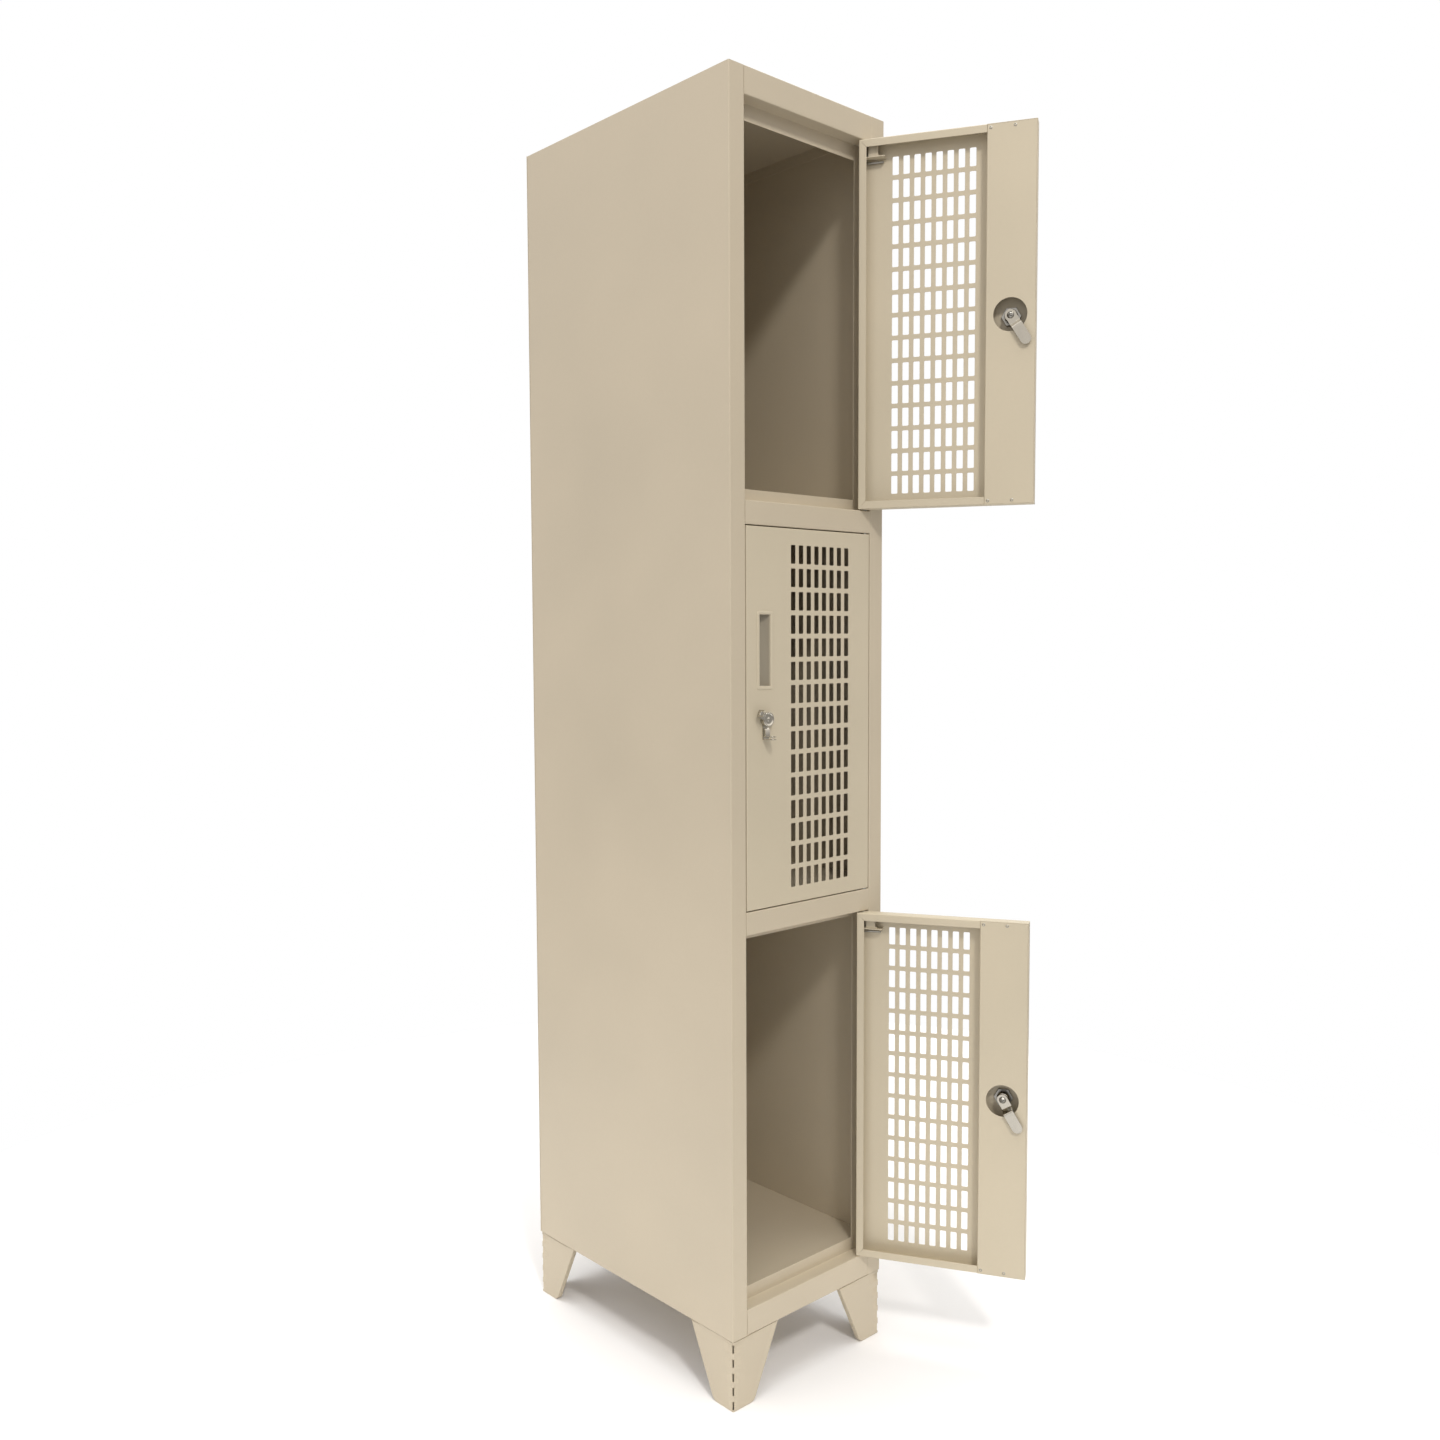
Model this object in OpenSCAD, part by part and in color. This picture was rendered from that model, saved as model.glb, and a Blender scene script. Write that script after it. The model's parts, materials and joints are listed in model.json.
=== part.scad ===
/* [Body] */
// Overall width of the cabinet
body_w = 305; // [290:1:330]
// Overall depth of the cabinet
body_d = 457; // [420:1:500]
// Height of the cabinet above its legs
body_h = 1700; // [1650:5:1760]
// Height of the legs
leg_h = 100; // [90:1:120]
// Thickness of the body sheets
sheet = 1.0; // [0.8:0.1:1.2]
// Width of each stile beside the doors
stile_w = 27.5; // [26:0.5:30]
// Height of the fascia above the top door
fascia_h = 37; // [34:1:42]
// Height of the rail between two doors
rail_h = 32; // [30:1:36]
// Height of the sill under the bottom door
sill_h = 36; // [32:1:42]
// Depth of the rebate that holds a closed door
rebate = 22; // [22:0.5:24]
// Height of the shelf surface above the opening's lower edge
shelf_rise = 14; // [12:1:16]

/* [Doors] */
// How far the top door stands open
top_door_angle = 119.5; // [0:0.5:120]
// How far the middle door stands open
middle_door_angle = 0; // [0:0.5:120]
// How far the bottom door stands open
bottom_door_angle = 119.5; // [0:0.5:120]
// Thickness of a door
door_t = 20; // [19:0.5:20]
// Gap between a door and its opening
door_gap = 1.5; // [1.5:0.1:2]
// Width of the lips folded inwards round a door
door_lip = 11; // [9:0.5:12]
// Width of the stiffening box along the lock edge
box_w = 68; // [64:1:72]
// Diameter of the access hole in the stiffening box
access_d = 46; // [40:1:48]

/* [Vent slots] */
// Columns of vent slots
slot_cols = 8; // [4:1:8]
// Rows of vent slots
slot_rows = 15; // [8:1:15]
// Width of a vent slot
slot_w = 9; // [6:0.5:9]
// Height of a vent slot
slot_h = 25.5; // [18:0.5:25.5]
// Width of the bars between slots
slot_bar = 6.5; // [6:0.5:7]
// Distance from the hinge edge to the first column
slot_margin = 44.8; // [40:0.2:46]

/* [Pull recess] */
// Width of the recess bezel
pull_w = 30.5; // [28:0.5:32]
// Height of the recess bezel
pull_h = 106; // [90:1:110]
// Height of the bezel's lower edge above the middle of the door
pull_rise = 40; // [36:1:44]
// Depth of the recess
pull_depth = 13; // [11:0.5:14]

/* [Latch] */
// Distance of the latch axis from the door's lock edge
latch_inset = 34.5; // [33:0.5:36]
// Turn of the top latch from its locked position
top_latch_angle = 58.7; // [-115:0.1:90]
// Turn of the middle latch from its locked position
middle_latch_angle = -115; // [-115:0.1:90]
// Turn of the bottom latch from its locked position
bottom_latch_angle = 58.7; // [-115:0.1:90]
// Length of the cam from its axis to its tip
cam_reach = 49; // [46:0.5:50]
// Width of the cam
cam_w = 15; // [13:0.5:16]

/* [Hinge] */
// Distance of the pivot from the opening's edge
pivot_in = 7.8; // [7.8:0.1:8.2]
// Distance of the pivot behind the front face
pivot_back = 4.2; // [4.1:0.1:4.3]
// Diameter of the pivot pins
pin_d = 5; // [4.6:0.1:5]

/* [Legs] */
// Width of a leg flange at the top
leg_top_w = 87; // [80:1:90]
// Width of a leg flange at the floor
leg_foot_w = 40; // [36:1:44]
// Number of slots along the leg's fold line
fold_slots = 5; // [3:1:5]

/* [Hidden] */
$fn = 48;

// Colours of the finishes
body_paint = [0.80, 0.73, 0.62];
door_paint = [0.82, 0.75, 0.64];
chrome = [0.78, 0.79, 0.80];
zinc = [0.66, 0.67, 0.68];

// Places that the body is built from
bend_r = 1;
cut = 0.5;
left = -body_w / 2;
right = body_w / 2;
front = -body_d / 2;
rear = body_d / 2;
roof = leg_h + body_h;
open_left = left + stile_w;
open_right = right - stile_w;
open_w = open_right - open_left;
lip_front = front + rebate;
lip_rear = lip_front + sheet;
inner_w = body_w - 2 * sheet;
inner_rear = rear - 2 * sheet;

// Folds of the body sheets
rear_fold = 18;
lock_side_lip = 5;
hinge_side_lip = 12;
foot_fold = 20;
roof_fold = 17;
roof_lip = 22;
rail_low_lip = 10;
rail_high_lip = 17;
sill_lip = 19;
tray_fold = 15;

// Tiers, counted from the top
tier_h = (body_h - fascia_h - sill_h - 2 * rail_h) / 3;
tier_pitch = tier_h + rail_h;
function tier_floor(i) = leg_h + sill_h + (2 - i) * tier_pitch;
function tier_roof(i) = tier_floor(i) + tier_h;
door_angles = [top_door_angle, middle_door_angle, bottom_door_angle];
latch_angles = [top_latch_angle, middle_latch_angle, bottom_latch_angle];

// A door is drawn closed, about its pivot axis, from its lower edge upwards
pivot_x = open_right - pivot_in;
pivot_y = front + pivot_back;
door_w = open_w - 2 * door_gap;
door_h = tier_h - 2 * door_gap;
skin = 1.0;
hinge_edge = pivot_in - door_gap;
lock_edge = hinge_edge - door_w;
face = -pivot_back;
inner_face = face + door_t;
edge_r = 1.5;
mitre_gap = 0.4;
box_edge = lock_edge + box_w;

// Vent grid
grid_w = slot_cols * slot_w + (slot_cols - 1) * slot_bar;
grid_h = slot_rows * slot_h + (slot_rows - 1) * slot_bar;
grid_left = hinge_edge - slot_margin - grid_w;
grid_low = (door_h - grid_h) / 2;
slot_r = 1.5;

// Pull recess
pull_x = lock_edge + latch_inset;
pull_low = door_h / 2 + pull_rise;
pull_border = 4.5;
bezel_t = 0.8;
cup_wall = 1.0;
cup_w = pull_w - 2 * pull_border;
cup_h = pull_h - 2 * pull_border;
cup_flat = 3;
cup_gap = 0.25;

// Latch, measured from its axis and outwards from the door's face
latch_z = door_h / 2;
barrel_r = 8.75;
barrel_len = 14;
spindle_r = 4;
running_gap = 0.05;
base_t = 2;
base_r = 9.5;
base_w = 11;
neck_t = 5;
neck_top = 11.5;
staple_w = 10;
staple_t = 1;
staple_out = 19.5;
staple_places = [23.4, 26.9];
shackle_r = 3.5;
shackle_out = 14;
disc_r = 10;
disc_low = 2.3;
disc_high = 8;
lug_place = 21.1;
lug_low = 6;
lug_out = 19;
lug_w = 10;
nut_flats = 24;
nut_t = 4;
cam_t = 2;
cam_hub_y = barrel_len + 1.2;
cam_flat_y = rebate + sheet + 0.6 + cam_t / 2;
crank_start = 12.5;
crank_end = 17.6;
square_w = 5.6;
screw_r = 5;
screw_h = 3.5;

// Hinge pins, measured from the door's upper or lower edge
pin_r = pin_d / 2;
stem_r = 1.75;
shoulder_drop = 8;
pin_stand = 7;
plate_drop = 23;
plate_t = 1.5;
tail_drop = 29;
tail_len = 27;
bracket_reach = 36;
bracket_depth = 15;
tab_w = 14;
tab_start = 12;
tab_y = 6;
spring_wire = 0.35;
spring_r = 2.3;
spring_turns = 7;
washer_r = 4;
washer_t = 1.4;
pin_head_r = 3;

// Legs, drawn at a corner with both flanges running inwards
leg_inset = 1.3;
leg_t = 1.2;
leg_hem = 8;
toe_r = 11;
slot_pitch = 20;
fold_slot_h = 12;
fold_slot_w = 2.4;
fold_slot_low = 3;
plate_w = 24;
plate_reach = 62;
bolt_near = 12;
bolt_far = 46;
bolt_r = 3;
bolt_gap = 0.1;

function unit(v) = v / norm(v);
function left_of(d) = [-d.y, d.x];
function fold_length(a, b, r) = r * tan(acos(a * b) / 2);
function reversed(v) = [for (i = [len(v) - 1:-1:0]) v[i]];

// A straight stretch of sheet, centred on the line from a to b
module strip(a, b, t) {
  translate(a)
    rotate(atan2(b.y - a.y, b.x - a.x))
      translate([0, -t / 2])
        square([norm(b - a), t]);
}

// The bend of a sheet at corner p, from direction a to direction b
module elbow(p, a, b, t, r) {
  side = sign(cross(a, b));
  centre = p - a * fold_length(a, b, r) + left_of(a) * side * r;
  from = -left_of(a) * side;
  to = -left_of(b) * side;
  reach = 2 * (r + t);
  translate(centre)
    intersection() {
      difference() {
        circle(r + t / 2);
        circle(r - t / 2);
      }
      polygon([[0, 0], from * reach, (from + to) * reach, to * reach]);
    }
}

// The section of a bent sheet that follows a path along its middle
module bent_sheet(path, t = sheet, r = bend_r) {
  last = len(path) - 1;
  dirs = [for (i = [0:last - 1]) unit(path[i + 1] - path[i])];
  for (i = [0:last - 1]) {
    start = i == 0 ? 0 : fold_length(dirs[i - 1], dirs[i], r);
    end = i == last - 1 ? 0 : fold_length(dirs[i], dirs[i + 1], r);
    strip(path[i] + dirs[i] * start, path[i + 1] - dirs[i] * end, t);
  }
  for (i = [1:last - 1])
    elbow(path[i], dirs[i - 1], dirs[i], t, r);
}

// Stands a depth and height section up and runs it across the cabinet
module across(w) {
  rotate([90, 0, 90])
    linear_extrude(w, center = true)
      children();
}

// Upright hole for a hinge pin through the frame
module frame_pivot_hole(z) {
  translate([pivot_x, pivot_y, z])
    cylinder(r = pin_r + running_gap, h = 4 * sheet, center = true);
}

// Upright holes for the leg bolts, at the four corners
module leg_bolt_places() {
  for (sx = [-1, 1], sy = [-1, 1])
    for (p = [[bolt_far, bolt_near], [bolt_near, bolt_far]])
      translate([sx * (right - leg_inset - p.x), sy * (rear - leg_inset - p.y), leg_h])
        children();
}

module leg_bolt_holes() {
  leg_bolt_places()
    cylinder(r = bolt_r + bolt_gap, h = 6 * sheet, center = true);
}

// Places of the countersunk screws that hold the back panel on the side panels
back_screw_inset = 9;
back_screw_count = 6;
back_head_r = 3.8;
back_head_h = 1.8;
module back_screw_places() {
  pitch = (body_h - 200) / (back_screw_count - 1);
  for (sx = [-1, 1], i = [0:back_screw_count - 1])
    translate([sx * (right - back_screw_inset), rear, leg_h + 100 + i * pitch])
      rotate([90, 0, 0])
        children();
}
back_screw_r = 2;
module back_screw_head() {
  cylinder(r1 = back_head_r, r2 = back_screw_r, h = back_head_h);
}
module back_screw_holes() {
  back_screw_places() {
    back_screw_head();
    cylinder(r = back_screw_r + bolt_gap, h = 8 * sheet, center = true);
  }
}

// Room at a rail's ends for the lips of the stiles
module stile_lip_room() {
  y = lip_front - bend_r + sheet / 2;
  for (place = [[open_left - cut, lock_side_lip + cut], [open_right - hinge_side_lip, hinge_side_lip + cut]])
    translate([place[0], y, leg_h - cut])
      cube([place[1], lip_rear + cut - y, body_h - sheet + cut]);
}

// Side panel with its stile folded round the front; the left one, whose lip is lip_w wide
module side_panel(lip_w) {
  x = left + sheet / 2;
  return_x = open_left - sheet / 2;
  y_front = front + sheet / 2;
  y_rear = rear - sheet * 1.5;
  y_lip = lip_front + sheet / 2;
  path = [
    [left + rear_fold, y_rear],
    [x, y_rear],
    [x, y_front],
    [return_x, y_front],
    [return_x, y_lip],
    [open_left + lip_w, y_lip]
  ];
  difference() {
    union() {
      translate([0, 0, leg_h])
        linear_extrude(body_h)
          bent_sheet(path);
      translate([left + sheet, front + sheet, leg_h])
        cube([foot_fold, body_d - 3 * sheet, sheet]);
    }
    translate([left + sheet, front + sheet, roof - sheet])
      cube([inner_w, body_d - 3 * sheet, 2 * sheet]);
  }
}

module left_side_panel() {
  color(body_paint)
    difference() {
      side_panel(lock_side_lip);
      leg_bolt_holes();
      back_screw_holes();
    }
}

module right_side_panel() {
  color(body_paint)
    difference() {
      mirror([1, 0, 0])
        side_panel(hinge_side_lip);
      leg_bolt_holes();
      back_screw_holes();
    }
}

module back_panel() {
  color(body_paint)
    difference() {
      union() {
        translate([left, rear - sheet, leg_h])
          cube([body_w, sheet, body_h]);
        translate([open_left, rear - sheet - foot_fold, leg_h])
          cube([open_w, foot_fold, sheet]);
      }
      leg_bolt_holes();
      back_screw_holes();
    }
}

// Roof, folded down at the sides and the back and into the fascia at the front
module top_panel() {
  z = roof - sheet / 2;
  y_fascia = front + sheet / 2;
  y_lip = lip_front + sheet / 2;
  soffit = tier_roof(0) + sheet / 2;
  color(body_paint)
    difference() {
      union() {
        across(open_w)
          bent_sheet([
            [front + 2 * rebate, z],
            [y_fascia, z],
            [y_fascia, soffit],
            [y_lip, soffit],
            [y_lip, soffit - sheet / 2 - roof_lip]
          ]);
        translate([left + sheet, lip_rear, roof - sheet])
          cube([inner_w, inner_rear - lip_rear, sheet]);
        for (x = [left + sheet, open_right])
          translate([x, front + sheet, roof - sheet])
            cube([stile_w - sheet, rebate, sheet]);
        for (x = [left + sheet, right - 2 * sheet])
          translate([x, lip_rear, roof - roof_fold])
            cube([sheet, inner_rear - lip_rear, roof_fold]);
        translate([left + sheet, inner_rear - sheet, roof - roof_fold])
          cube([inner_w, sheet, roof_fold]);
      }
      frame_pivot_hole(soffit);
      stile_lip_room();
    }
}

// Tray that makes a compartment floor, with its surface at height z
module tray(z) {
  depth = inner_rear - lip_rear;
  translate([left + sheet, lip_rear, z - tray_fold])
    difference() {
      cube([inner_w, depth, tray_fold]);
      translate([sheet, sheet, -cut])
        cube([inner_w - 2 * sheet, depth - 2 * sheet, tray_fold - sheet + cut]);
    }
}

module bottom_panel() {
  color(body_paint)
    tray(tier_floor(2) + shelf_rise);
}

module upper_shelf() {
  color(body_paint)
    tray(tier_floor(0) + shelf_rise);
}

module lower_shelf() {
  color(body_paint)
    tray(tier_floor(1) + shelf_rise);
}

// Rail above the opening of tier i, with stop lips behind both of its doors
module cross_rail(i) {
  low = tier_roof(i) + sheet / 2;
  high = tier_floor(i - 1) - sheet / 2;
  y_face = front + sheet / 2;
  y_lip = lip_front + sheet / 2;
  color(body_paint)
    difference() {
      across(open_w)
        bent_sheet([
          [y_lip, low - sheet / 2 - rail_low_lip],
          [y_lip, low],
          [y_face, low],
          [y_face, high],
          [y_lip, high],
          [y_lip, high + sheet / 2 + rail_high_lip]
        ]);
      frame_pivot_hole(low);
      frame_pivot_hole(high);
      stile_lip_room();
    }
}

module bottom_sill() {
  low = leg_h + sheet / 2;
  high = tier_floor(2) - sheet / 2;
  y_face = front + sheet / 2;
  y_lip = lip_front + sheet / 2;
  color(body_paint)
    difference() {
      across(open_w)
        bent_sheet([
          [lip_front, low],
          [y_face, low],
          [y_face, high],
          [y_lip, high],
          [y_lip, high + sheet / 2 + sill_lip]
        ]);
      frame_pivot_hole(high);
      leg_bolt_holes();
      stile_lip_room();
    }
}

// Free edge of a leg flange from the sole to the top, moved inwards by d
function leg_edge(d) = let (
    slope = atan2(leg_h, leg_top_w - leg_foot_w),
    tangent = toe_r * tan(slope / 2),
    centre = [leg_foot_w - tangent, toe_r],
    steps = 8
  ) concat(
    [[0, d]],
    [for (i = [0:steps]) let (a = -90 + slope * i / steps) centre + (toe_r - d) * [cos(a), sin(a)]],
    [[leg_top_w - d / sin(slope), leg_h]]
  );

// One flange of a leg with the hem folded back along its free edge
module leg_flange() {
  linear_extrude(leg_t)
    polygon(concat(leg_edge(0), [[0, leg_h]]));
  linear_extrude(leg_hem)
    polygon(concat(leg_edge(0), reversed(leg_edge(leg_t))));
}

module leg() {
  difference() {
    union() {
      mirror([0, 1, 0])
        rotate([90, 0, 0])
          leg_flange();
      rotate([90, 0, 90])
        leg_flange();
      translate([0, 0, leg_h - leg_t])
        cube([plate_reach, plate_w, leg_t]);
      translate([0, 0, leg_h - leg_t])
        cube([plate_w, plate_reach, leg_t]);
    }
    for (i = [0:fold_slots - 1])
      translate([0, 0, fold_slot_low + i * slot_pitch])
        rotate([0, 0, 45])
          translate([-leg_t, -fold_slot_w / 2, 0])
            cube([4 * leg_t, fold_slot_w, fold_slot_h]);
    difference() {
      translate([-cut, -cut, -cut])
        cube([edge_r + cut, edge_r + cut, leg_h + 2 * cut]);
      translate([edge_r, edge_r, -2 * cut])
        cylinder(r = edge_r, h = leg_h + 4 * cut);
    }
  }
}

module leg_at(sx, sy) {
  color(body_paint)
    difference() {
      translate([sx * (right - leg_inset), sy * (rear - leg_inset), 0])
        mirror([sx > 0 ? 1 : 0, 0, 0])
          mirror([0, sy > 0 ? 1 : 0, 0])
            leg();
      leg_bolt_holes();
    }
}

// Bolts through the legs' top plates, with their nuts inside the cabinet
module leg_screws() {
  head_h = 3;
  head_r = 5.5;
  nut_h = 4;
  nut_r = 5.5;
  shank = 10;
  color(zinc)
    leg_bolt_places() {
      translate([0, 0, -leg_t - head_h])
        cylinder(r = head_r, h = head_h);
      translate([0, 0, -leg_t - head_h / 2])
        cylinder(r = bolt_r, h = shank);
      translate([0, 0, sheet])
        cylinder(r = nut_r, h = nut_h, $fn = 6);
    }
}

// Countersunk screws along both edges of the back panel, flush with it
module back_screws() {
  shank = 8;
  color(zinc)
    back_screw_places() {
      back_screw_head();
      translate([0, 0, back_head_h / 2])
        cylinder(r = back_screw_r, h = shank);
    }
}

// Puts a part of door i in its place, turned about the hinge
module on_door(i) {
  translate([pivot_x, pivot_y, tier_floor(i) + door_gap])
    rotate([0, 0, door_angles[i]])
      children();
}

// Puts a part at the latch axis of door i, with +Z outwards from the door's face
module at_latch(i) {
  on_door(i)
    translate([lock_edge + latch_inset, face, latch_z])
      rotate([90, 0, 0])
        children();
}

// The same, turned with the latch
module on_latch(i) {
  at_latch(i)
    rotate([0, 0, latch_angles[i]])
      children();
}

// Corner points of a rounded upright slot
function slot_points(w, h, r) = [
  for (q = [0:3], s = [0:3])
    let (a = 90 * q + 30 * s, cx = (q == 0 || q == 3) ? w - r : r, cy = q < 2 ? h - r : r)
      [cx + r * cos(a), cy + r * sin(a)]
];

module vent_grid() {
  for (c = [0:slot_cols - 1], r = [0:slot_rows - 1])
    translate([grid_left + c * (slot_w + slot_bar), grid_low + r * (slot_h + slot_bar)])
      polygon(slot_points(slot_w, slot_h, slot_r));
}

// Cutter that rounds a door's upper or lower front edge; up is +1 or -1
module edge_cutter(up) {
  z = up > 0 ? door_h : 0;
  translate([lock_edge - cut, face, z])
    rotate([90, 0, 90])
      linear_extrude(door_w + 2 * cut)
        difference() {
          translate([-cut, up > 0 ? -edge_r : -cut])
            square(edge_r + cut);
          translate([edge_r, -up * edge_r])
            circle(edge_r);
        }
}

// Door pan: skin, four walls and the lips on three sides
module door_skin(i) {
  x_wall = hinge_edge - skin / 2;
  x_free = lock_edge + skin / 2;
  y_skin = face + skin / 2;
  y_lip = inner_face - skin / 2;
  color(door_paint)
    on_door(i)
      difference() {
        union() {
          linear_extrude(door_h)
            bent_sheet([
              [hinge_edge - door_lip, y_lip],
              [x_wall, y_lip],
              [x_wall, y_skin],
              [x_free, y_skin],
              [x_free, inner_face]
            ], skin);
          for (z = [0, door_h - skin])
            translate([lock_edge + skin, face + skin, z])
              cube([door_w - 2 * skin, door_t - skin, skin]);
          for (z = [0, door_h - door_lip])
            translate([box_edge, inner_face - skin, z])
              cube([hinge_edge - box_edge - skin, skin, door_lip]);
        }
        for (up = [-1, 1]) {
          edge_cutter(up);
          translate([hinge_edge, inner_face, up > 0 ? door_h : 0])
            rotate([0, up * 45, 0])
              translate([-1.5 * door_lip, -skin - cut, -mitre_gap / 2])
                cube([1.5 * door_lip - edge_r, skin + 2 * cut, mitre_gap]);
        }
        translate([0, face + skin + cut, 0])
          rotate([90, 0, 0])
            linear_extrude(skin + 2 * cut) {
              vent_grid();
              translate([pull_x - cup_w / 2 - cup_wall - cup_gap, pull_low + pull_border - cup_wall - cup_gap])
                square([cup_w + 2 * (cup_wall + cup_gap), cup_h + 2 * (cup_wall + cup_gap)]);
            }
        translate([lock_edge + latch_inset, face - cut, latch_z])
          rotate([-90, 0, 0])
            cylinder(r = barrel_r + cup_gap, h = skin + 2 * cut);
        for (z = [0, door_h])
          translate([0, 0, z])
            cylinder(r = pin_r + running_gap, h = 4 * skin, center = true);
      }
}

// Stiffening box along the lock edge: a plate level with the lips and a web to the skin
module lock_box(i) {
  color(door_paint)
    on_door(i)
      difference() {
        union() {
          translate([lock_edge + skin, inner_face - skin, skin])
            cube([box_w - skin, skin, door_h - 2 * skin]);
          translate([box_edge - skin, face + skin, skin])
            cube([skin, door_t - skin, door_h - 2 * skin]);
        }
        translate([lock_edge + latch_inset, inner_face - skin - cut, latch_z])
          rotate([-90, 0, 0])
            cylinder(r = access_d / 2, h = skin + 2 * cut, $fn = 96);
      }
}

// Flat rivets that hold the box plate at its ends
module box_rivets(i) {
  rivet_r = 2.2;
  rivet_h = 0.6;
  inset = door_lip / 2;
  color(zinc)
    on_door(i)
      for (x = [box_edge - 5, box_edge - 38], z = [inset, door_h - inset])
        translate([x, inner_face, z])
          rotate([-90, 0, 0])
            cylinder(r1 = rivet_r, r2 = rivet_r - 0.5, h = rivet_h);
}

// Section of the pull recess: a deep lock-side end that sweeps up to the hinge-side end
module cup_section(grow) {
  sweep = cup_w - cup_flat;
  radius = (sweep * sweep + pull_depth * pull_depth) / (2 * pull_depth);
  translate([-grow, 0])
    square([cup_flat + grow, pull_depth + grow]);
  intersection() {
    translate([cup_flat, pull_depth - radius])
      circle(radius + grow, $fn = 96);
    translate([cup_flat - 0.1, 0])
      square([sweep + grow + 0.1, pull_depth + grow]);
  }
}

module pull_cup(i) {
  bezel_r = 2;
  color(door_paint)
    on_door(i)
      translate([pull_x, face, pull_low])
        difference() {
          union() {
            translate([-cup_w / 2, 0, pull_border - cup_wall])
              linear_extrude(cup_h + 2 * cup_wall)
                cup_section(cup_wall);
            rotate([90, 0, 0])
              linear_extrude(bezel_t) {
                translate([-pull_w / 2, bezel_r])
                  square([pull_w, pull_h - 2 * bezel_r]);
                translate([-pull_w / 2 + bezel_r, 0])
                  square([pull_w - 2 * bezel_r, pull_h]);
                for (x = [-1, 1], z = [bezel_r, pull_h - bezel_r])
                  translate([x * (pull_w / 2 - bezel_r), z])
                    circle(bezel_r);
              }
          }
          translate([-cup_w / 2, 0, pull_border])
            linear_extrude(cup_h)
              cup_section(0);
          translate([-cup_w / 2, -2 * bezel_t, pull_border])
            cube([cup_w, 2 * bezel_t + 0.01, cup_h]);
        }
}

// Fixed half of the latch: base plate, neck, twin staples and threaded barrel
module lock_body(i) {
  color(chrome)
    at_latch(i)
      difference() {
        union() {
          cylinder(r = base_r, h = base_t);
          translate([-base_w / 2, -staple_places[1] - staple_t / 2, 0])
            cube([base_w, staple_places[1] + staple_t / 2, base_t]);
          translate([-base_w / 2 + 1, -staple_places[0], 0])
            cube([base_w - 2, staple_places[0] - neck_top, neck_t]);
          for (place = staple_places)
            translate([0, -place, 0]) {
              translate([-staple_w / 2, -staple_t / 2, 0])
                cube([staple_w, staple_t, staple_out - staple_w / 2]);
              translate([0, 0, staple_out - staple_w / 2])
                rotate([90, 0, 0])
                  cylinder(r = staple_w / 2, h = staple_t, center = true);
            }
          translate([0, 0, -barrel_len])
            cylinder(r = barrel_r, h = barrel_len);
        }
        translate([0, 0, -barrel_len - cut])
          cylinder(r = spindle_r + running_gap, h = barrel_len + base_t + 2 * cut);
        translate([0, -staple_places[0] + 2 * staple_t, shackle_out])
          rotate([90, 0, 0])
            cylinder(r = shackle_r, h = 8);
        translate([-base_w, -neck_top - 2.5, neck_t])
          rotate([40, 0, 0])
            cube([2 * base_w, 6, 6]);
      }
}

module lock_nut(i) {
  color(zinc)
    at_latch(i)
      translate([0, 0, -skin - nut_t])
        difference() {
          cylinder(d = nut_flats / cos(30), h = nut_t, $fn = 6);
          translate([0, 0, -cut])
            cylinder(r = barrel_r, h = nut_t + 2 * cut);
        }
}

// Turning half of the latch: disc, arm and lug in front, spindle through the barrel
module latch_knob(i) {
  rim = 1.2;
  color(chrome)
    on_latch(i)
      difference() {
        union() {
          translate([0, 0, disc_low])
            cylinder(r = disc_r, h = disc_high - disc_low - rim);
          translate([0, 0, disc_high - rim])
            cylinder(r1 = disc_r, r2 = disc_r - rim, h = rim);
          translate([-lug_w / 2, -lug_place - staple_t / 2, lug_low])
            cube([lug_w, lug_place + staple_t / 2, disc_high - lug_low]);
          translate([-lug_w / 2, -lug_place - staple_t / 2, lug_low])
            cube([lug_w, staple_t, lug_out - lug_w / 2 - lug_low]);
          translate([0, -lug_place, lug_out - lug_w / 2])
            rotate([90, 0, 0])
              cylinder(r = lug_w / 2, h = staple_t, center = true);
          translate([0, 0, -barrel_len - 0.2])
            cylinder(r = spindle_r, h = barrel_len + 0.2 + disc_low + cut);
          translate([-square_w / 2, -square_w / 2, -cam_hub_y - cam_t / 2])
            cube([square_w, square_w, cam_t + cut]);
        }
        translate([0, -lug_place, shackle_out])
          rotate([90, 0, 0])
            cylinder(r = shackle_r, h = 4 * staple_t, center = true);
        translate([0, 0, -cam_hub_y - cam_t])
          cylinder(r = 1.6, h = 9);
      }
}

// Cranked cam; it points to the lock edge when the latch is locked
module latch_cam(i) {
  hub_back = 8;
  color(chrome)
    on_latch(i)
      difference() {
        intersection() {
          rotate([90, 0, 0])
            linear_extrude(cam_w, center = true)
              bent_sheet([
                [hub_back, -cam_hub_y],
                [-crank_start, -cam_hub_y],
                [-crank_end, -cam_flat_y],
                [-cam_reach, -cam_flat_y]
              ], cam_t, 1.6);
          translate([0, 0, -rebate - 10])
            linear_extrude(rebate + 10) {
              translate([-cam_reach + cam_w / 2, -cam_w / 2])
                square([cam_reach - cam_w / 2, cam_w]);
              translate([-cam_reach + cam_w / 2, 0])
                circle(d = cam_w);
              circle(r = hub_back);
            }
        }
        translate([-square_w / 2, -square_w / 2, -cam_hub_y - cam_t])
          cube([square_w, square_w, 2 * cam_t]);
      }
}

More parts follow.
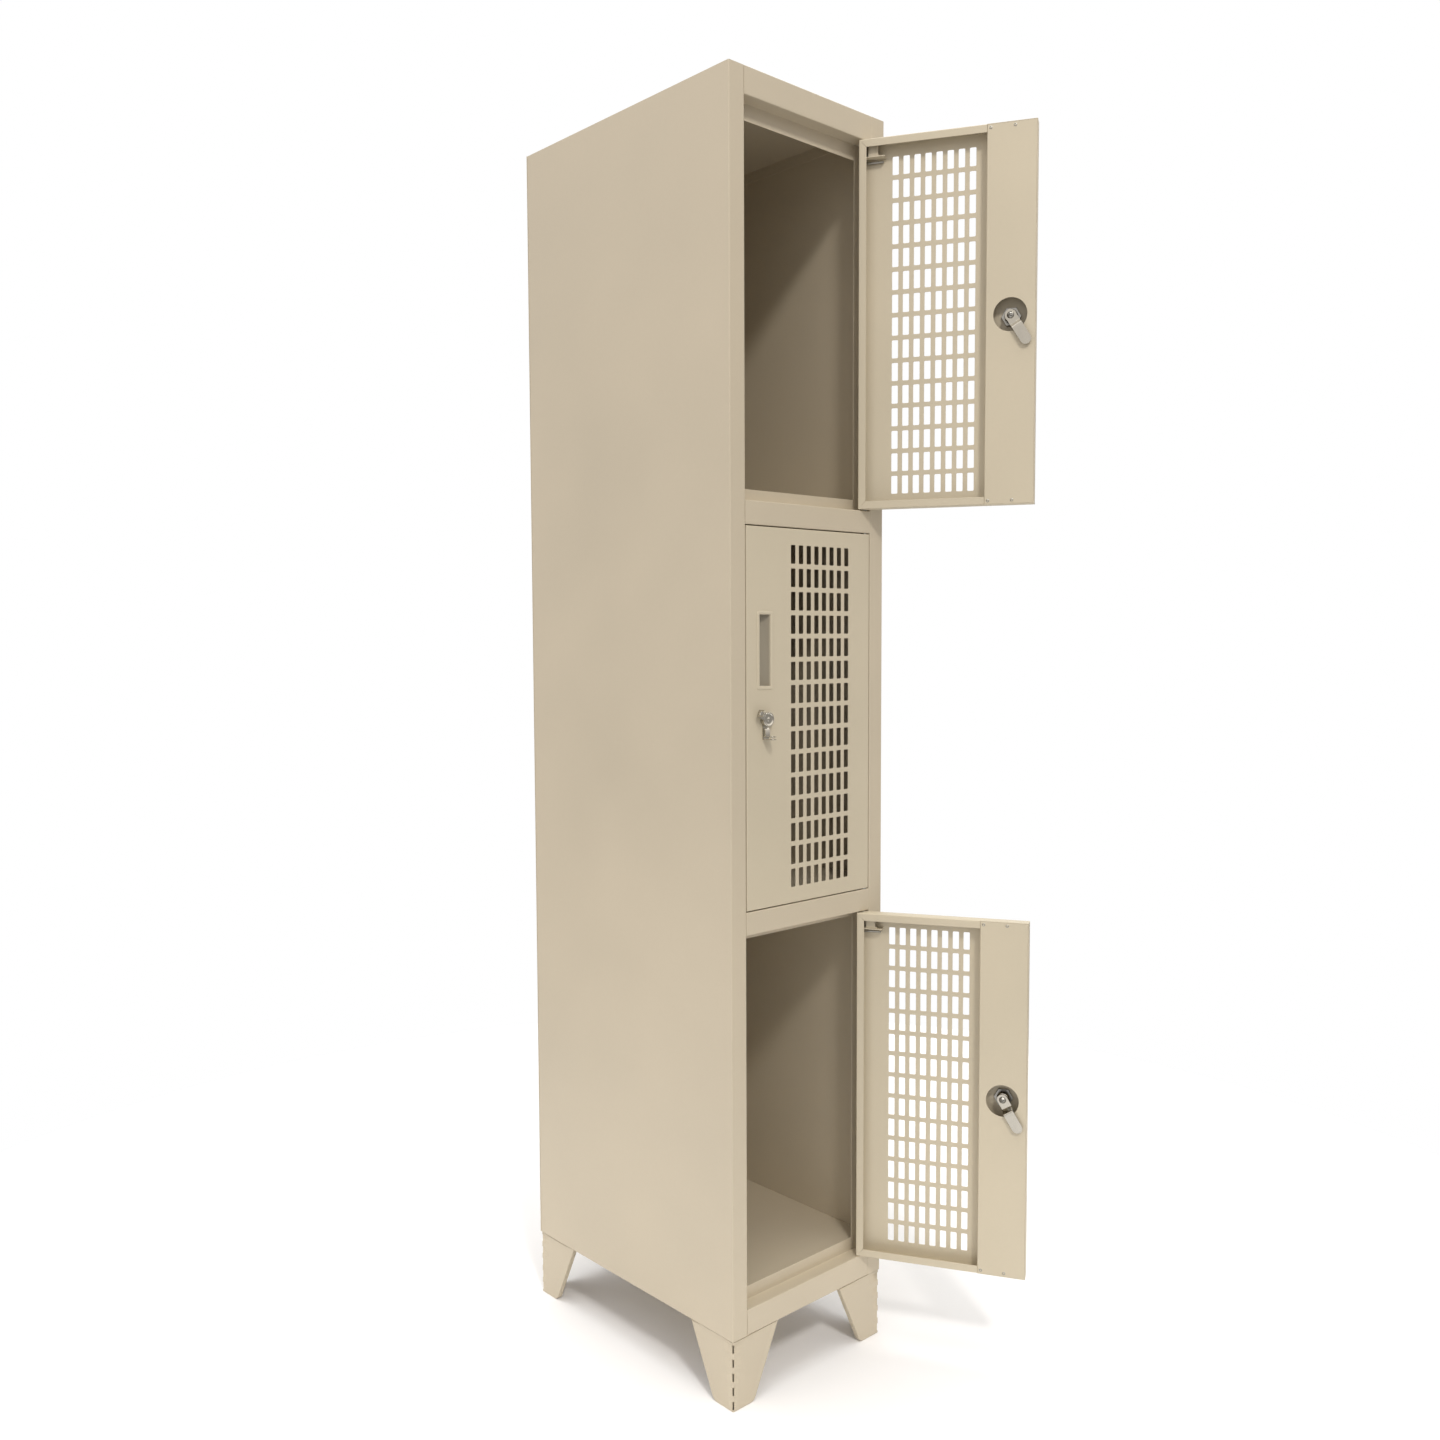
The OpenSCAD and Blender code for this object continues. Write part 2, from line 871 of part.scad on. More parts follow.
module cam_screw(i) {
  ball_r = (screw_r * screw_r + screw_h * screw_h) / (2 * screw_h);
  color(zinc)
    on_latch(i)
      translate([0, 0, -cam_hub_y - cam_t / 2]) {
        intersection() {
          translate([0, 0, ball_r - screw_h])
            sphere(ball_r);
          translate([0, 0, -screw_h])
            cylinder(r = 2 * screw_r, h = screw_h);
        }
        cylinder(r = 1.5, h = 6);
      }
}

// Bracket in the upper hinge corner that guides the sprung pin
module pivot_bracket(i) {
  x_end = hinge_edge - bracket_reach;
  z = door_h - plate_drop - plate_t;
  tab_x = hinge_edge - tab_start - tab_w;
  tab_r = 4;
  color(door_paint)
    on_door(i)
      difference() {
        union() {
          translate([x_end, face + skin, z])
            cube([hinge_edge - skin - x_end, bracket_depth - skin, plate_t]);
          translate([tab_x, tab_y, z])
            cube([tab_w, plate_t, plate_drop + plate_t - skin]);
          translate([tab_x - tab_r, tab_y, z + plate_t])
            rotate([-90, -90, 0])
              linear_extrude(plate_t)
                difference() {
                  translate([0, 0])
                    square(tab_r);
                  translate([tab_r, 0])
                    circle(tab_r);
                }
        }
        translate([0, 0, z - cut])
          cylinder(r = stem_r + bolt_gap, h = plate_t + 2 * cut);
      }
}

// Sprung upper pin: head in the frame, shoulder over the spring and a finger tail below
module upper_pin(i) {
  color(zinc)
    on_door(i)
      translate([0, 0, door_h]) {
        translate([0, 0, -shoulder_drop])
          cylinder(r = pin_r, h = shoulder_drop + pin_stand - 1);
        translate([0, 0, pin_stand - 1])
          cylinder(r1 = pin_r, r2 = pin_r - 0.8, h = 1);
        translate([0, 0, -tail_drop])
          cylinder(r = stem_r, h = tail_drop - shoulder_drop + cut);
        translate([0, 0, -tail_drop])
          sphere(stem_r);
        translate([0, 0, -tail_drop])
          rotate([0, -90, 0])
            cylinder(r = stem_r, h = tail_len);
      }
}

// Coil spring between the bracket's plate and the pin's shoulder
module pin_spring(i) {
  sides = 6;
  per_turn = 14;
  rings = spring_turns * per_turn;
  length = plate_drop - shoulder_drop;
  rise = (length - 2 * spring_wire) / rings;
  points = [
    for (k = [0:rings], s = [0:sides - 1])
      let (a = 360 * k / per_turn, b = 360 * s / sides, r = spring_r + spring_wire * cos(b))
        [r * cos(a), r * sin(a), spring_wire + k * rise + spring_wire * sin(b)]
  ];
  walls = [
    for (k = [0:rings - 1], s = [0:sides - 1])
      let (n = (s + 1) % sides)
        [k * sides + s, (k + 1) * sides + s, (k + 1) * sides + n, k * sides + n]
  ];
  caps = [[for (s = [0:sides - 1]) s], [for (s = [sides - 1:-1:0]) rings * sides + s]];
  color(zinc)
    on_door(i)
      translate([0, 0, door_h - plate_drop])
        polyhedron(points, concat(walls, caps));
}

// Fixed lower pin with the washer that carries the door
module lower_pin(i) {
  color(zinc)
    on_door(i) {
      translate([0, 0, -pin_stand])
        cylinder(r = pin_r, h = pin_stand + 2 * skin);
      translate([0, 0, -washer_t])
        cylinder(r = washer_r, h = washer_t);
      translate([0, 0, skin])
        cylinder(r = pin_head_r, h = 1.5);
    }
}

left_side_panel();
right_side_panel();
back_panel();
top_panel();
bottom_panel();
upper_shelf();
lower_shelf();
cross_rail(1);  // upper_cross_rail
cross_rail(2);  // lower_cross_rail
bottom_sill();
leg_at(-1, -1);  // leg_front_left
leg_at(1, -1);  // leg_front_right
leg_at(-1, 1);  // leg_rear_left
leg_at(1, 1);  // leg_rear_right
leg_screws();
back_screws();
door_skin(0);  // door_skin_top
door_skin(1);  // door_skin_middle
door_skin(2);  // door_skin_bottom
lock_box(0);  // lock_box_top
lock_box(1);  // lock_box_middle
lock_box(2);  // lock_box_bottom
box_rivets(0);  // box_rivets_top
box_rivets(1);  // box_rivets_middle
box_rivets(2);  // box_rivets_bottom
pull_cup(0);  // pull_cup_top
pull_cup(1);  // pull_cup_middle
pull_cup(2);  // pull_cup_bottom
lock_body(0);  // lock_body_top
lock_body(1);  // lock_body_middle
lock_body(2);  // lock_body_bottom
lock_nut(0);  // lock_nut_top
lock_nut(1);  // lock_nut_middle
lock_nut(2);  // lock_nut_bottom
latch_knob(0);  // latch_knob_top
latch_knob(1);  // latch_knob_middle
latch_knob(2);  // latch_knob_bottom
latch_cam(0);  // latch_cam_top
latch_cam(1);  // latch_cam_middle
latch_cam(2);  // latch_cam_bottom
cam_screw(0);  // cam_screw_top
cam_screw(1);  // cam_screw_middle
cam_screw(2);  // cam_screw_bottom
pivot_bracket(0);  // pivot_bracket_top
pivot_bracket(1);  // pivot_bracket_middle
pivot_bracket(2);  // pivot_bracket_bottom
upper_pin(0);  // upper_pin_top
upper_pin(1);  // upper_pin_middle
upper_pin(2);  // upper_pin_bottom
pin_spring(0);  // pin_spring_top
pin_spring(1);  // pin_spring_middle
pin_spring(2);  // pin_spring_bottom
lower_pin(0);  // lower_pin_top
lower_pin(1);  // lower_pin_middle
lower_pin(2);  // lower_pin_bottom
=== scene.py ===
import json
import math

import bmesh
import bpy
import numpy as np
from bpy.props import FloatProperty, IntProperty, PointerProperty, StringProperty
from mathutils import Matrix, Vector


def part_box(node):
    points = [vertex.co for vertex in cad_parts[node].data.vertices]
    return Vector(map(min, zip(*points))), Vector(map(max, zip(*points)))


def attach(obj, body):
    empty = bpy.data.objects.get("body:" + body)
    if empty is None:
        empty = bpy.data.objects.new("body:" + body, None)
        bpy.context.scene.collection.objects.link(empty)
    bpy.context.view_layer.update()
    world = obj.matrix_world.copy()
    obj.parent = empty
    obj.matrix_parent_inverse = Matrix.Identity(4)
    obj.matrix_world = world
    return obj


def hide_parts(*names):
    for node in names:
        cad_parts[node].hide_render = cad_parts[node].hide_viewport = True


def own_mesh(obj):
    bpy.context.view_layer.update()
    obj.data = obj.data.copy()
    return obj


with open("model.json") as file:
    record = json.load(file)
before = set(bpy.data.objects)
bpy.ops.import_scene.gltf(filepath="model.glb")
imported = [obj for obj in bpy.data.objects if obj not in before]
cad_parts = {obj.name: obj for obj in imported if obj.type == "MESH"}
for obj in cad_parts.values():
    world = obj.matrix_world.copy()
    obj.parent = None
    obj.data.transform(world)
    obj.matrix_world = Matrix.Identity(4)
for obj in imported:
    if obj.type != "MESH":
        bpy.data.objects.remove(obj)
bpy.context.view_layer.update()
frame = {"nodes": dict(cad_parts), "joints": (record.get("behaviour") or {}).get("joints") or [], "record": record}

bl_info = {
    "name": "Steel locker",
    "version": (1, 0, 0),
    "blender": (4, 5, 0),
    "location": "3D View > Sidebar > Locker",
    "description": "Builds the folded sheets, doors, latches and legs of a steel locker round its CAD frame",
    "category": "Object",
}

TIERS = ("top", "middle", "bottom")
JOINTS = {joint["name"]: joint for joint in frame["joints"]}


def box_mm(node):
    """Lowest and highest corner of a CAD node, in millimetres."""
    low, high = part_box(node)
    return np.array(low) * 1000, np.array(high) * 1000


# Places that the body is built from, in millimetres
LEFT, FRONT, FOOT = box_mm("left_side_panel")[0]
ROOF = box_mm("top_panel")[1][2]
RIGHT = box_mm("right_side_panel")[1][0]
REAR = box_mm("back_panel")[1][1]
OPEN_LEFT, OPEN_RIGHT = (corner[0] for corner in box_mm("upper_cross_rail"))
DOOR_GAP = 1.5
DOOR_LOW = {tier: box_mm("door_skin_" + tier)[0][2] for tier in TIERS}
TIER_FLOOR = {tier: low - DOOR_GAP for tier, low in DOOR_LOW.items()}

# A door is built closed, about its pivot, and from its lower edge up
PAN_LOW, PAN_HIGH = box_mm("door_skin_middle")
PIVOT = [1000 * v for v in JOINTS["door_middle_hinge"]["pos_m"]]
DOOR_W, DOOR_T, DOOR_H = PAN_HIGH - PAN_LOW
HINGE_EDGE, FACE = PAN_HIGH[0] - PIVOT[0], PAN_LOW[1] - PIVOT[1]
LOCK_EDGE, INNER = HINGE_EDGE - DOOR_W, FACE + DOOR_T

# Sheets are built on their middle surface, half a millimetre under their faces
HALF = 0.5
BEND = 1.0  # inner radius of the bends
BACK = 1.0  # thickness of the back panel
REAR_FOLD, TRAY_FOLD, ROOF_LIP = 18, 15, 22  # widths of folded edges
SPRING_LOW, SPRING_HIGH = -23.0, -8.0  # ends of a pin's spring, from the door's top

# Degrees: edges that turn by more are eased, and edges sharper than that aren't shaded smooth
EASED_FROM, SHARP_FROM = 38, 40
COPY_EASED_FROM, COPY_SHARP_FROM = 50, 35


# ---------------------------------------------------------------- sizes and finishes

# A length is given in millimetres here and kept in metres
def length(name, default, description):
    return FloatProperty(name=name, default=default / 1000, unit="LENGTH", description=description)


def strength(name, default, description, **unit):
    return FloatProperty(name=name, default=default, min=0, description=description, **unit)


def count(name, default, least, description):
    return IntProperty(name=name, default=default, min=least, description=description)


def colour(name, default, thing):
    return StringProperty(name=name, default=default, description="Colour of " + thing)


class LockerSheets(bpy.types.PropertyGroup):
    thickness: length("Sheet", 1.0, "Thickness of the folded sheets")
    ease: length("Eased edge", 0.22, "Width of the rounding along cut edges")
    rebate: length("Rebate", 22, "Depth of the rebate that holds a closed door")
    rail_height: length("Rail height", 32, "Height of the rail between two doors")
    shelf_rise: length("Shelf rise", 14, "Height of a compartment floor above its opening")
    wave: length("Panel wave", 0.35, "How far the large panels draw in between their folds")


class LockerDoors(bpy.types.PropertyGroup):
    lip: length("Door lip", 11, "Width of the lips folded inwards round a door")
    box_width: length("Lock box", 68, "Width of the stiffening box along the lock edge")
    access_hole: length("Access hole", 46, "Diameter of the hole behind the latch")
    slot_width: length("Slot width", 9, "Width of a vent slot")
    slot_height: length("Slot height", 25.5, "Height of a vent slot")
    slot_bar: length("Slot bar", 6.5, "Width of the bars between slots")
    slot_corner: length("Slot corner", 1.5, "Corner radius of a vent slot")
    slot_columns: count("Slot columns", 8, 2, "Vent slots side by side")
    slot_rows: count("Slot rows", 15, 2, "Vent slots one above the other")
    slot_margin: length("Slot margin", 44.8, "Distance from the hinge edge to the first column")
    cup_width: length("Recess width", 21.5, "Width of the pull recess inside its bezel")
    cup_height: length("Recess height", 97, "Height of the pull recess inside its bezel")
    cup_border: length("Recess border", 4.5, "Width of the bezel round the pull recess")
    cup_depth: length("Recess depth", 13, "Depth of the pull recess at its lock side")
    cup_rise: length("Recess place", 40, "Height of the bezel above the middle of the door")


class LockerLatch(bpy.types.PropertyGroup):
    inset: length("Latch inset", 34.5, "Distance of the latch axis from the lock edge")
    barrel_radius: length("Barrel radius", 8.75, "Radius of the threaded barrel")
    disc_radius: length("Disc radius", 10, "Radius of the turning disc")
    cam_reach: length("Cam reach", 49, "Distance from the axis to the cam's tip")
    cam_width: length("Cam width", 15, "Width of the cam")
    locked_low: FloatProperty(name="Lowest turn", default=math.radians(-115), subtype="ANGLE",
                              description="Turn of the latch from locked at its low stop")


class LockerLegs(bpy.types.PropertyGroup):
    thickness: length("Leg sheet", 1.2, "Thickness of a leg's sheet")
    inset: length("Leg inset", 1.3, "How far a leg stands back from the body's faces")
    top_width: length("Width at the top", 87, "Width of a leg flange under the body")
    foot_width: length("Width at the floor", 40, "Width of a leg flange at the floor")
    hem: length("Hem", 8, "Depth of the edge folded back round a flange")
    toe: length("Toe radius", 11, "Radius of the corner at the sole")
    fold_slots: count("Fold slots", 5, 1, "Slots along the fold line")
    slot_pitch: length("Slot pitch", 20, "Distance between two fold slots")
    slot_length: length("Slot length", 12, "Length of a fold slot")
    slot_width: length("Slot width", 3.4, "Width of a fold slot across the fold")
    seam: length("Seam", 1.2, "Gap between the body and the top edge of a leg's flanges")


class LockerFinish(bpy.types.PropertyGroup):
    body_coat: colour("Body coat", "#C7BBA5", "the body's powder coat")
    door_coat: colour("Door coat", "#CABFA8", "the doors' powder coat")
    plating: colour("Chrome plate", "#C2BDB2", "the plated latch parts")
    zinc: colour("Zinc plate", "#B3B1AB", "the zinc-plated fasteners")
    floor: colour("Floor", "#FBFBFC", "the studio floor")
    peel: length("Orange peel", 2.2, "Spacing of the ripples in the powder coat")


class LockerStage(bpy.types.PropertyGroup):
    key_power: strength("Key light", 172, "Power of the key light", unit="POWER")
    overhead: strength("Overhead light", 1.3, "Strength of the light straight down, in W/m2")
    sky: strength("Sky", 0.79, "Strength of the even light from all round")
    reflected: strength("Reflected surroundings", 1.1, "Strength of the surroundings in reflections")
    floor_reach: strength("Floor", 1.6, "Radius of the studio floor", unit="LENGTH")
    lens: strength("Lens", 32.38, "Focal length on a 36 mm sensor", unit="CAMERA")


GROUPS = {
    "locker_sheets": LockerSheets, "locker_doors": LockerDoors, "locker_latch": LockerLatch,
    "locker_legs": LockerLegs, "locker_finish": LockerFinish, "locker_stage": LockerStage,
}


def sizes(group, *names):
    """Sizes of one of the groups, in millimetres."""
    values = getattr(bpy.context.scene, "locker_" + group)
    return [getattr(values, name) * 1000 for name in names]


def size(group, name):
    """One size of a group, in millimetres."""
    return sizes(group, name)[0]


# ---------------------------------------------------------------- shapes

def turns(count):
    """Angles evenly round a circle."""
    return np.arange(count) * 2 * np.pi / count


def unit(angle):
    """Directions in a plane at these angles."""
    return np.stack([np.cos(angle), np.sin(angle)], -1)


def xyz(x, y, z):
    """Points from their coordinates, which are first spread to one shape."""
    return np.stack(np.broadcast_arrays(x, y, z), -1)


def latch_axis():
    """Place of a latch's axis across its door, in millimetres from the hinge's."""
    return LOCK_EDGE + size("latch", "inset")


def fold_line(path, radius=BEND, steps=4):
    """Middle line of a folded sheet: each inner corner of the path gives way to an arc that touches both
    of its legs."""
    p = np.asarray(path, float)
    leg = np.diff(p, axis=0)
    leg = leg / np.linalg.norm(leg, axis=1)[:, None]
    a, b, corner = leg[:-1], leg[1:], p[1:-1]
    turn = np.arctan2(a[:, 0] * b[:, 1] - a[:, 1] * b[:, 0], (a * b).sum(1))
    side = np.sign(turn)[:, None]
    left = np.stack([-a[:, 1], a[:, 0]], 1) * side
    centre = corner - a * (radius * np.tan(np.abs(turn) / 2))[:, None] + left * radius
    angle = turn[:, None] * np.linspace(0, 1, steps + 1)
    cos, sin = np.cos(angle), np.sin(angle)
    start = -left * radius
    arc = centre[:, None] + np.stack(
        [start[:, :1] * cos - start[:, 1:] * sin, start[:, :1] * sin + start[:, 1:] * cos], -1)
    return np.concatenate([p[:1], arc.reshape(-1, 2), p[-1:]])


def refined(line, step):
    """The same line with points added by arc length, so that no stretch is longer than about one step."""
    along = np.concatenate([[0], np.cumsum(np.linalg.norm(np.diff(line, axis=0), axis=1))])
    extra = np.arange(step / 2, along[-1], step)
    near = np.abs(extra[:, None] - along[None]).min(1) > step * 0.3
    s = np.union1d(along, extra[near])
    return np.stack([np.interp(s, along, line[:, k]) for k in range(line.shape[1])], 1)


def lattice(points, keep=None, around=False):
    """Faces between neighbours on a grid of points; keep picks cells, around joins the last row to the
    first."""
    rows, cols = points.shape[:2]
    index = np.arange(rows * cols).reshape(rows, cols)
    if around:
        index = np.concatenate([index, index[:1]])
    cells = np.stack([index[:-1, :-1], index[1:, :-1], index[1:, 1:], index[:-1, 1:]], -1)
    cells = cells.reshape(-1, 4) if keep is None else cells[keep]
    return points.reshape(-1, 3), cells, []


def weld(parts, snap=2e-3):
    """Joins parts into one mesh: points that share a place become one, and a face that loses a corner
    becomes a triangle."""
    points, faces, caps, offset = [], [], [], 0
    for p, f, c in parts:
        points.append(p)
        faces.append(f.reshape(-1, 4) + offset)
        caps += [np.asarray(cap) + offset for cap in c]
        offset += len(p)
    points, faces = np.concatenate(points), np.concatenate(faces)
    _, first, new = np.unique(np.round(points / snap).astype(np.int64), axis=0,
                              return_index=True, return_inverse=True)
    new = new.reshape(-1)
    points, faces = points[first], new[faces]
    same = faces == np.roll(faces, -1, 1)
    twins = same.sum(1)
    triangles = faces[twins == 1][~same[twins == 1]].reshape(-1, 3)
    polygons = faces[twins == 0].tolist() + triangles.tolist() + [new[c].tolist() for c in caps]
    return points, polygons


def carried(section, stations, to_space):
    """A section's points carried along stations; to_space turns (section point, station) into x, y, z."""
    a = np.broadcast_to(section[None], (len(stations),) + section.shape)
    s = np.broadcast_to(np.asarray(stations, float)[:, None], a.shape[:2])
    return np.stack(to_space(a[..., 0], a[..., 1], s), -1)


def rim(nodes, low, high, profile, mitre_low=True, mitre_high=True, gap=0.0):
    """Places along one folded side: inner nodes stay on their grid lines, end nodes move in with the
    profile's inset, so corners are mitred; gap opens the mitre of the lip."""
    inset = profile[:, 0]
    along = np.repeat(np.asarray(nodes, float)[:, None], len(inset), 1)
    slack = np.where(inset > 1.5 * BEND + 0.1, gap, 0)
    if mitre_low:
        along[0] = low + inset + slack
    if mitre_high:
        along[-1] = high - inset - slack
    return along, np.broadcast_to(inset, along.shape), np.broadcast_to(profile[:, 1], along.shape)


def turned(profile, sides=48):
    """A profile of (radius, height) pairs turned about the axis; it starts and ends at radius 0."""
    r, h = np.asarray(profile, float).T
    angle = turns(sides)[:, None]
    return lattice(xyz(np.cos(angle) * r, np.sin(angle) * r, h), around=True)


def outset(outline, distance):
    """A closed outline moved outwards by a distance along the mitres of its corners; it runs
    anticlockwise."""
    edge = np.roll(outline, -1, 0) - outline
    normal = np.stack([edge[:, 1], -edge[:, 0]], 1) / np.linalg.norm(edge, axis=1)[:, None]
    before = np.roll(normal, 1, 0)
    return outline + distance * (normal + before) / (1 + (normal * before).sum(1))[:, None]


def slab(outline, low, high, ease=0.3):
    """A flat part: its outline repeated at rising heights, drawn in near the ends so that the edges are
    eased, and capped."""
    eased = [(ease * t, -ease * (1 - math.sqrt(1 - (1 - t) ** 2))) for t in (0.0, 0.29, 1.0)]
    steps = [(low + rise, d) for rise, d in eased] + [(high - rise, d) for rise, d in eased[::-1]]
    rings = np.stack([np.column_stack([outset(outline, d), np.full(len(outline), z)]) for z, d in steps], 1)
    points, cells, _ = lattice(rings, around=True)
    first = np.arange(len(outline)) * len(steps)
    return points, cells, [first[::-1], first + len(steps) - 1]


def bored(outer, inner, low, high, ease=0.2):
    """A plate with a hole: a loop of rings runs up the outside, across the top, down the hole and back
    underneath."""
    steps = [(outer, -ease, low), (outer, 0, low + ease), (outer, 0, high - ease), (outer, -ease, high),
             (inner, ease, high), (inner, 0, high - ease), (inner, 0, low + ease), (inner, ease, low)]
    rings = np.stack([np.column_stack([outset(o, d), np.full(len(o), z)]) for o, d, z in steps], 1)
    rings = np.concatenate([rings, rings[:, :1]], 1)
    return lattice(rings, around=True)


def circle(radius, count, centre=(0, 0)):
    """Points evenly round a circle, anticlockwise."""
    return np.asarray(centre) + radius * unit(turns(count))


def ray_to_polygon(corners, angles):
    """Where rays from the origin at these angles leave a convex polygon: the nearest crossing of all its
    edge lines."""
    corners = np.asarray(corners, float)
    edge = np.roll(corners, -1, 0) - corners
    normal = np.stack([edge[:, 1], -edge[:, 0]], 1)
    reach = (normal * corners).sum(1)
    heading = unit(angles)
    pace = heading @ normal.T
    t = np.where(pace > 1e-9, reach / np.where(pace > 1e-9, pace, 1), np.inf).min(1)
    return heading * t[:, None]


def hole_ring(nodes, centre, radius, plane):
    """Cells between the outline of a square opening and a round hole, each node joined to the circle at
    its own angle."""
    d = nodes - centre
    angle = np.arctan2(d[:, 1], d[:, 0])
    heading = unit(angle)
    rings = np.stack([nodes, centre + radius * 1.06 * heading, centre + radius * heading], 1)
    return lattice(np.insert(rings, 1, plane, -1), around=True)


def flat_grid(*lines):
    """Points of a flat grid, from its lines along x, y and z; the axis with a single line is dropped."""
    return np.stack(np.meshgrid(*lines, indexing="ij"), -1).squeeze([len(v) for v in lines].index(1))


def outline_nodes(a, b):
    """Grid nodes round a rectangle, anticlockwise, from the lines a across and b up."""
    return np.concatenate([
        np.column_stack([a[:-1], np.full(len(a) - 1, b[0])]),
        np.column_stack([np.full(len(b) - 1, a[-1]), b[:-1]]),
        np.column_stack([a[:0:-1], np.full(len(a) - 1, b[-1])]),
        np.column_stack([np.full(len(b) - 1, a[0]), b[:0:-1]])])


def rod(line, radii, sides):
    """A round rod along points in a plane square to y; the radii close it at both ends."""
    ahead = np.gradient(line, axis=0)
    ahead /= np.linalg.norm(ahead, axis=1)[:, None]
    up = np.array([0.0, 1.0, 0.0])
    across = np.cross(ahead, up)
    a = turns(sides)
    ring = (np.cos(a)[:, None, None] * across + np.sin(a)[:, None, None] * up) * np.asarray(radii)[:, None]
    return lattice(line[None] + ring, around=True)


# ---------------------------------------------------------------- pieces

def mirrored(part):
    """The same part on the other side of the body's middle plane."""
    points, faces, caps = part
    return points * (-1, 1, 1), faces[:, ::-1], [np.asarray(c)[::-1] for c in caps]


def door_place(tier):
    """Turns a door's own millimetres into the frame's, at the door's rest angle."""
    joint = JOINTS[f"door_{tier}_hinge"]
    angle = math.radians(-joint["range_deg"][0])
    cos, sin = math.cos(angle), math.sin(angle)
    x0, y0 = (1000 * v for v in joint["pos_m"][:2])

    def place(p):
        x, y, z = p.T
        return np.column_stack([x0 + x * cos - y * sin, y0 + x * sin + y * cos, DOOR_LOW[tier] + z])
    return place


def latch_place(tier, follows):
    """Turns a latch part's own millimetres (z outwards from the door's face) into the frame's; follows says
    whether it turns with the knob."""
    on_door = door_place(tier)
    lowest = math.radians(JOINTS[f"latch_{tier}_turn"]["range_deg"][0])
    rest = bpy.context.scene.locker_latch.locked_low - lowest
    cos, sin = (math.cos(rest), math.sin(rest)) if follows else (1.0, 0.0)
    axis_x = latch_axis()

    def place(p):
        x, y = p[:, 0] * cos - p[:, 1] * sin, p[:, 0] * sin + p[:, 1] * cos
        return on_door(np.column_stack([axis_x + x, FACE - p[:, 2], DOOR_H / 2 + y]))
    return place


def finished(name, mesh, body, node, slot, ease, turn, sharp=None, sheet=None):
    """The object round a mesh: smooth but for edges over the sharp angle, with its sheet's thickness, and
    eased along edges that turn by more than the turn angle. It rides on its body and stands for its CAD
    node."""
    mesh.polygons.foreach_set("use_smooth", np.ones(len(mesh.polygons), bool))
    if sharp:
        mesh.set_sharp_from_angle(angle=math.radians(sharp))
    mesh.materials.append(bpy.data.materials[FINISHES[slot]])
    piece = bpy.data.objects.new(name, mesh)
    bpy.context.scene.collection.objects.link(piece)
    if sheet:
        wall = piece.modifiers.new("Sheet thickness", "SOLIDIFY")
        wall.thickness, wall.offset, wall.use_even_offset = sheet / 1000, 0, True
    if ease:
        edge = piece.modifiers.new("Eased edges", "BEVEL")
        edge.width, edge.segments, edge.limit_method = ease / 1000, 2, "ANGLE"
        edge.angle_limit = math.radians(turn)
    piece.modifiers.new("Level shading", "WEIGHTED_NORMAL").keep_sharp = True
    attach(piece, body)
    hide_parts(node)
    return piece


def make_piece(name, parts, body, node, slot, place=None, sheet=None, ease=None, handled=None):
    """A piece of its own: parts are welded, placed and turned outwards. A sheet's parts are its middle surface,
    and its cut edges are eased; the last argument gives each point's painted shade, a darkening of the coat that
    stands in for the shade in a recess."""
    points, polygons = weld(parts)
    placed = place(points) if place else points
    mesh = bpy.data.meshes.new(name)
    mesh.from_pydata((placed / 1000).tolist(), [], polygons)
    # painted shade: each point's darkening of the coat goes into a mesh attribute that the material reads
    if handled:
        dark = mesh.attributes.new("handled", "FLOAT", "POINT")
        dark.data.foreach_set("value", handled(points).astype(np.float32))
    work = bmesh.new()
    work.from_mesh(mesh)
    bmesh.ops.recalc_face_normals(work, faces=work.faces)
    work.to_mesh(mesh)
    work.free()
    if ease is None:
        ease = size("sheets", "ease") if sheet else 0
    return finished(name, mesh, body, node, slot, ease, EASED_FROM, None if sheet else SHARP_FROM, sheet)


def tier_piece(base, tier, node, parts, slot, body="door", place=None, **look):
    """A piece of one tier's door, latch or pin; all their names end with the tier's."""
    return make_piece(f"{base}_{tier}", parts, f"{body}_{tier}", f"{node}_{tier}", slot,
                      place or door_place(tier), **look)


def eased_copy(name, node, slot, width):
    """A copy of a CAD node of the cabinet with its points merged, its flat faces joined up and its edges
    rounded."""
    mesh = frame["nodes"][node].data.copy()
    mesh.name = name
    mesh.materials.clear()
    work = bmesh.new()
    work.from_mesh(mesh)
    merge, flat = 2e-6, math.radians(0.5)
    bmesh.ops.remove_doubles(work, verts=work.verts, dist=merge)
    bmesh.ops.dissolve_limit(work, angle_limit=flat, verts=work.verts, edges=work.edges)
    work.to_mesh(mesh)
    work.free()
    return finished(name, mesh, "cabinet", node, slot, width, COPY_EASED_FROM, COPY_SHARP_FROM)


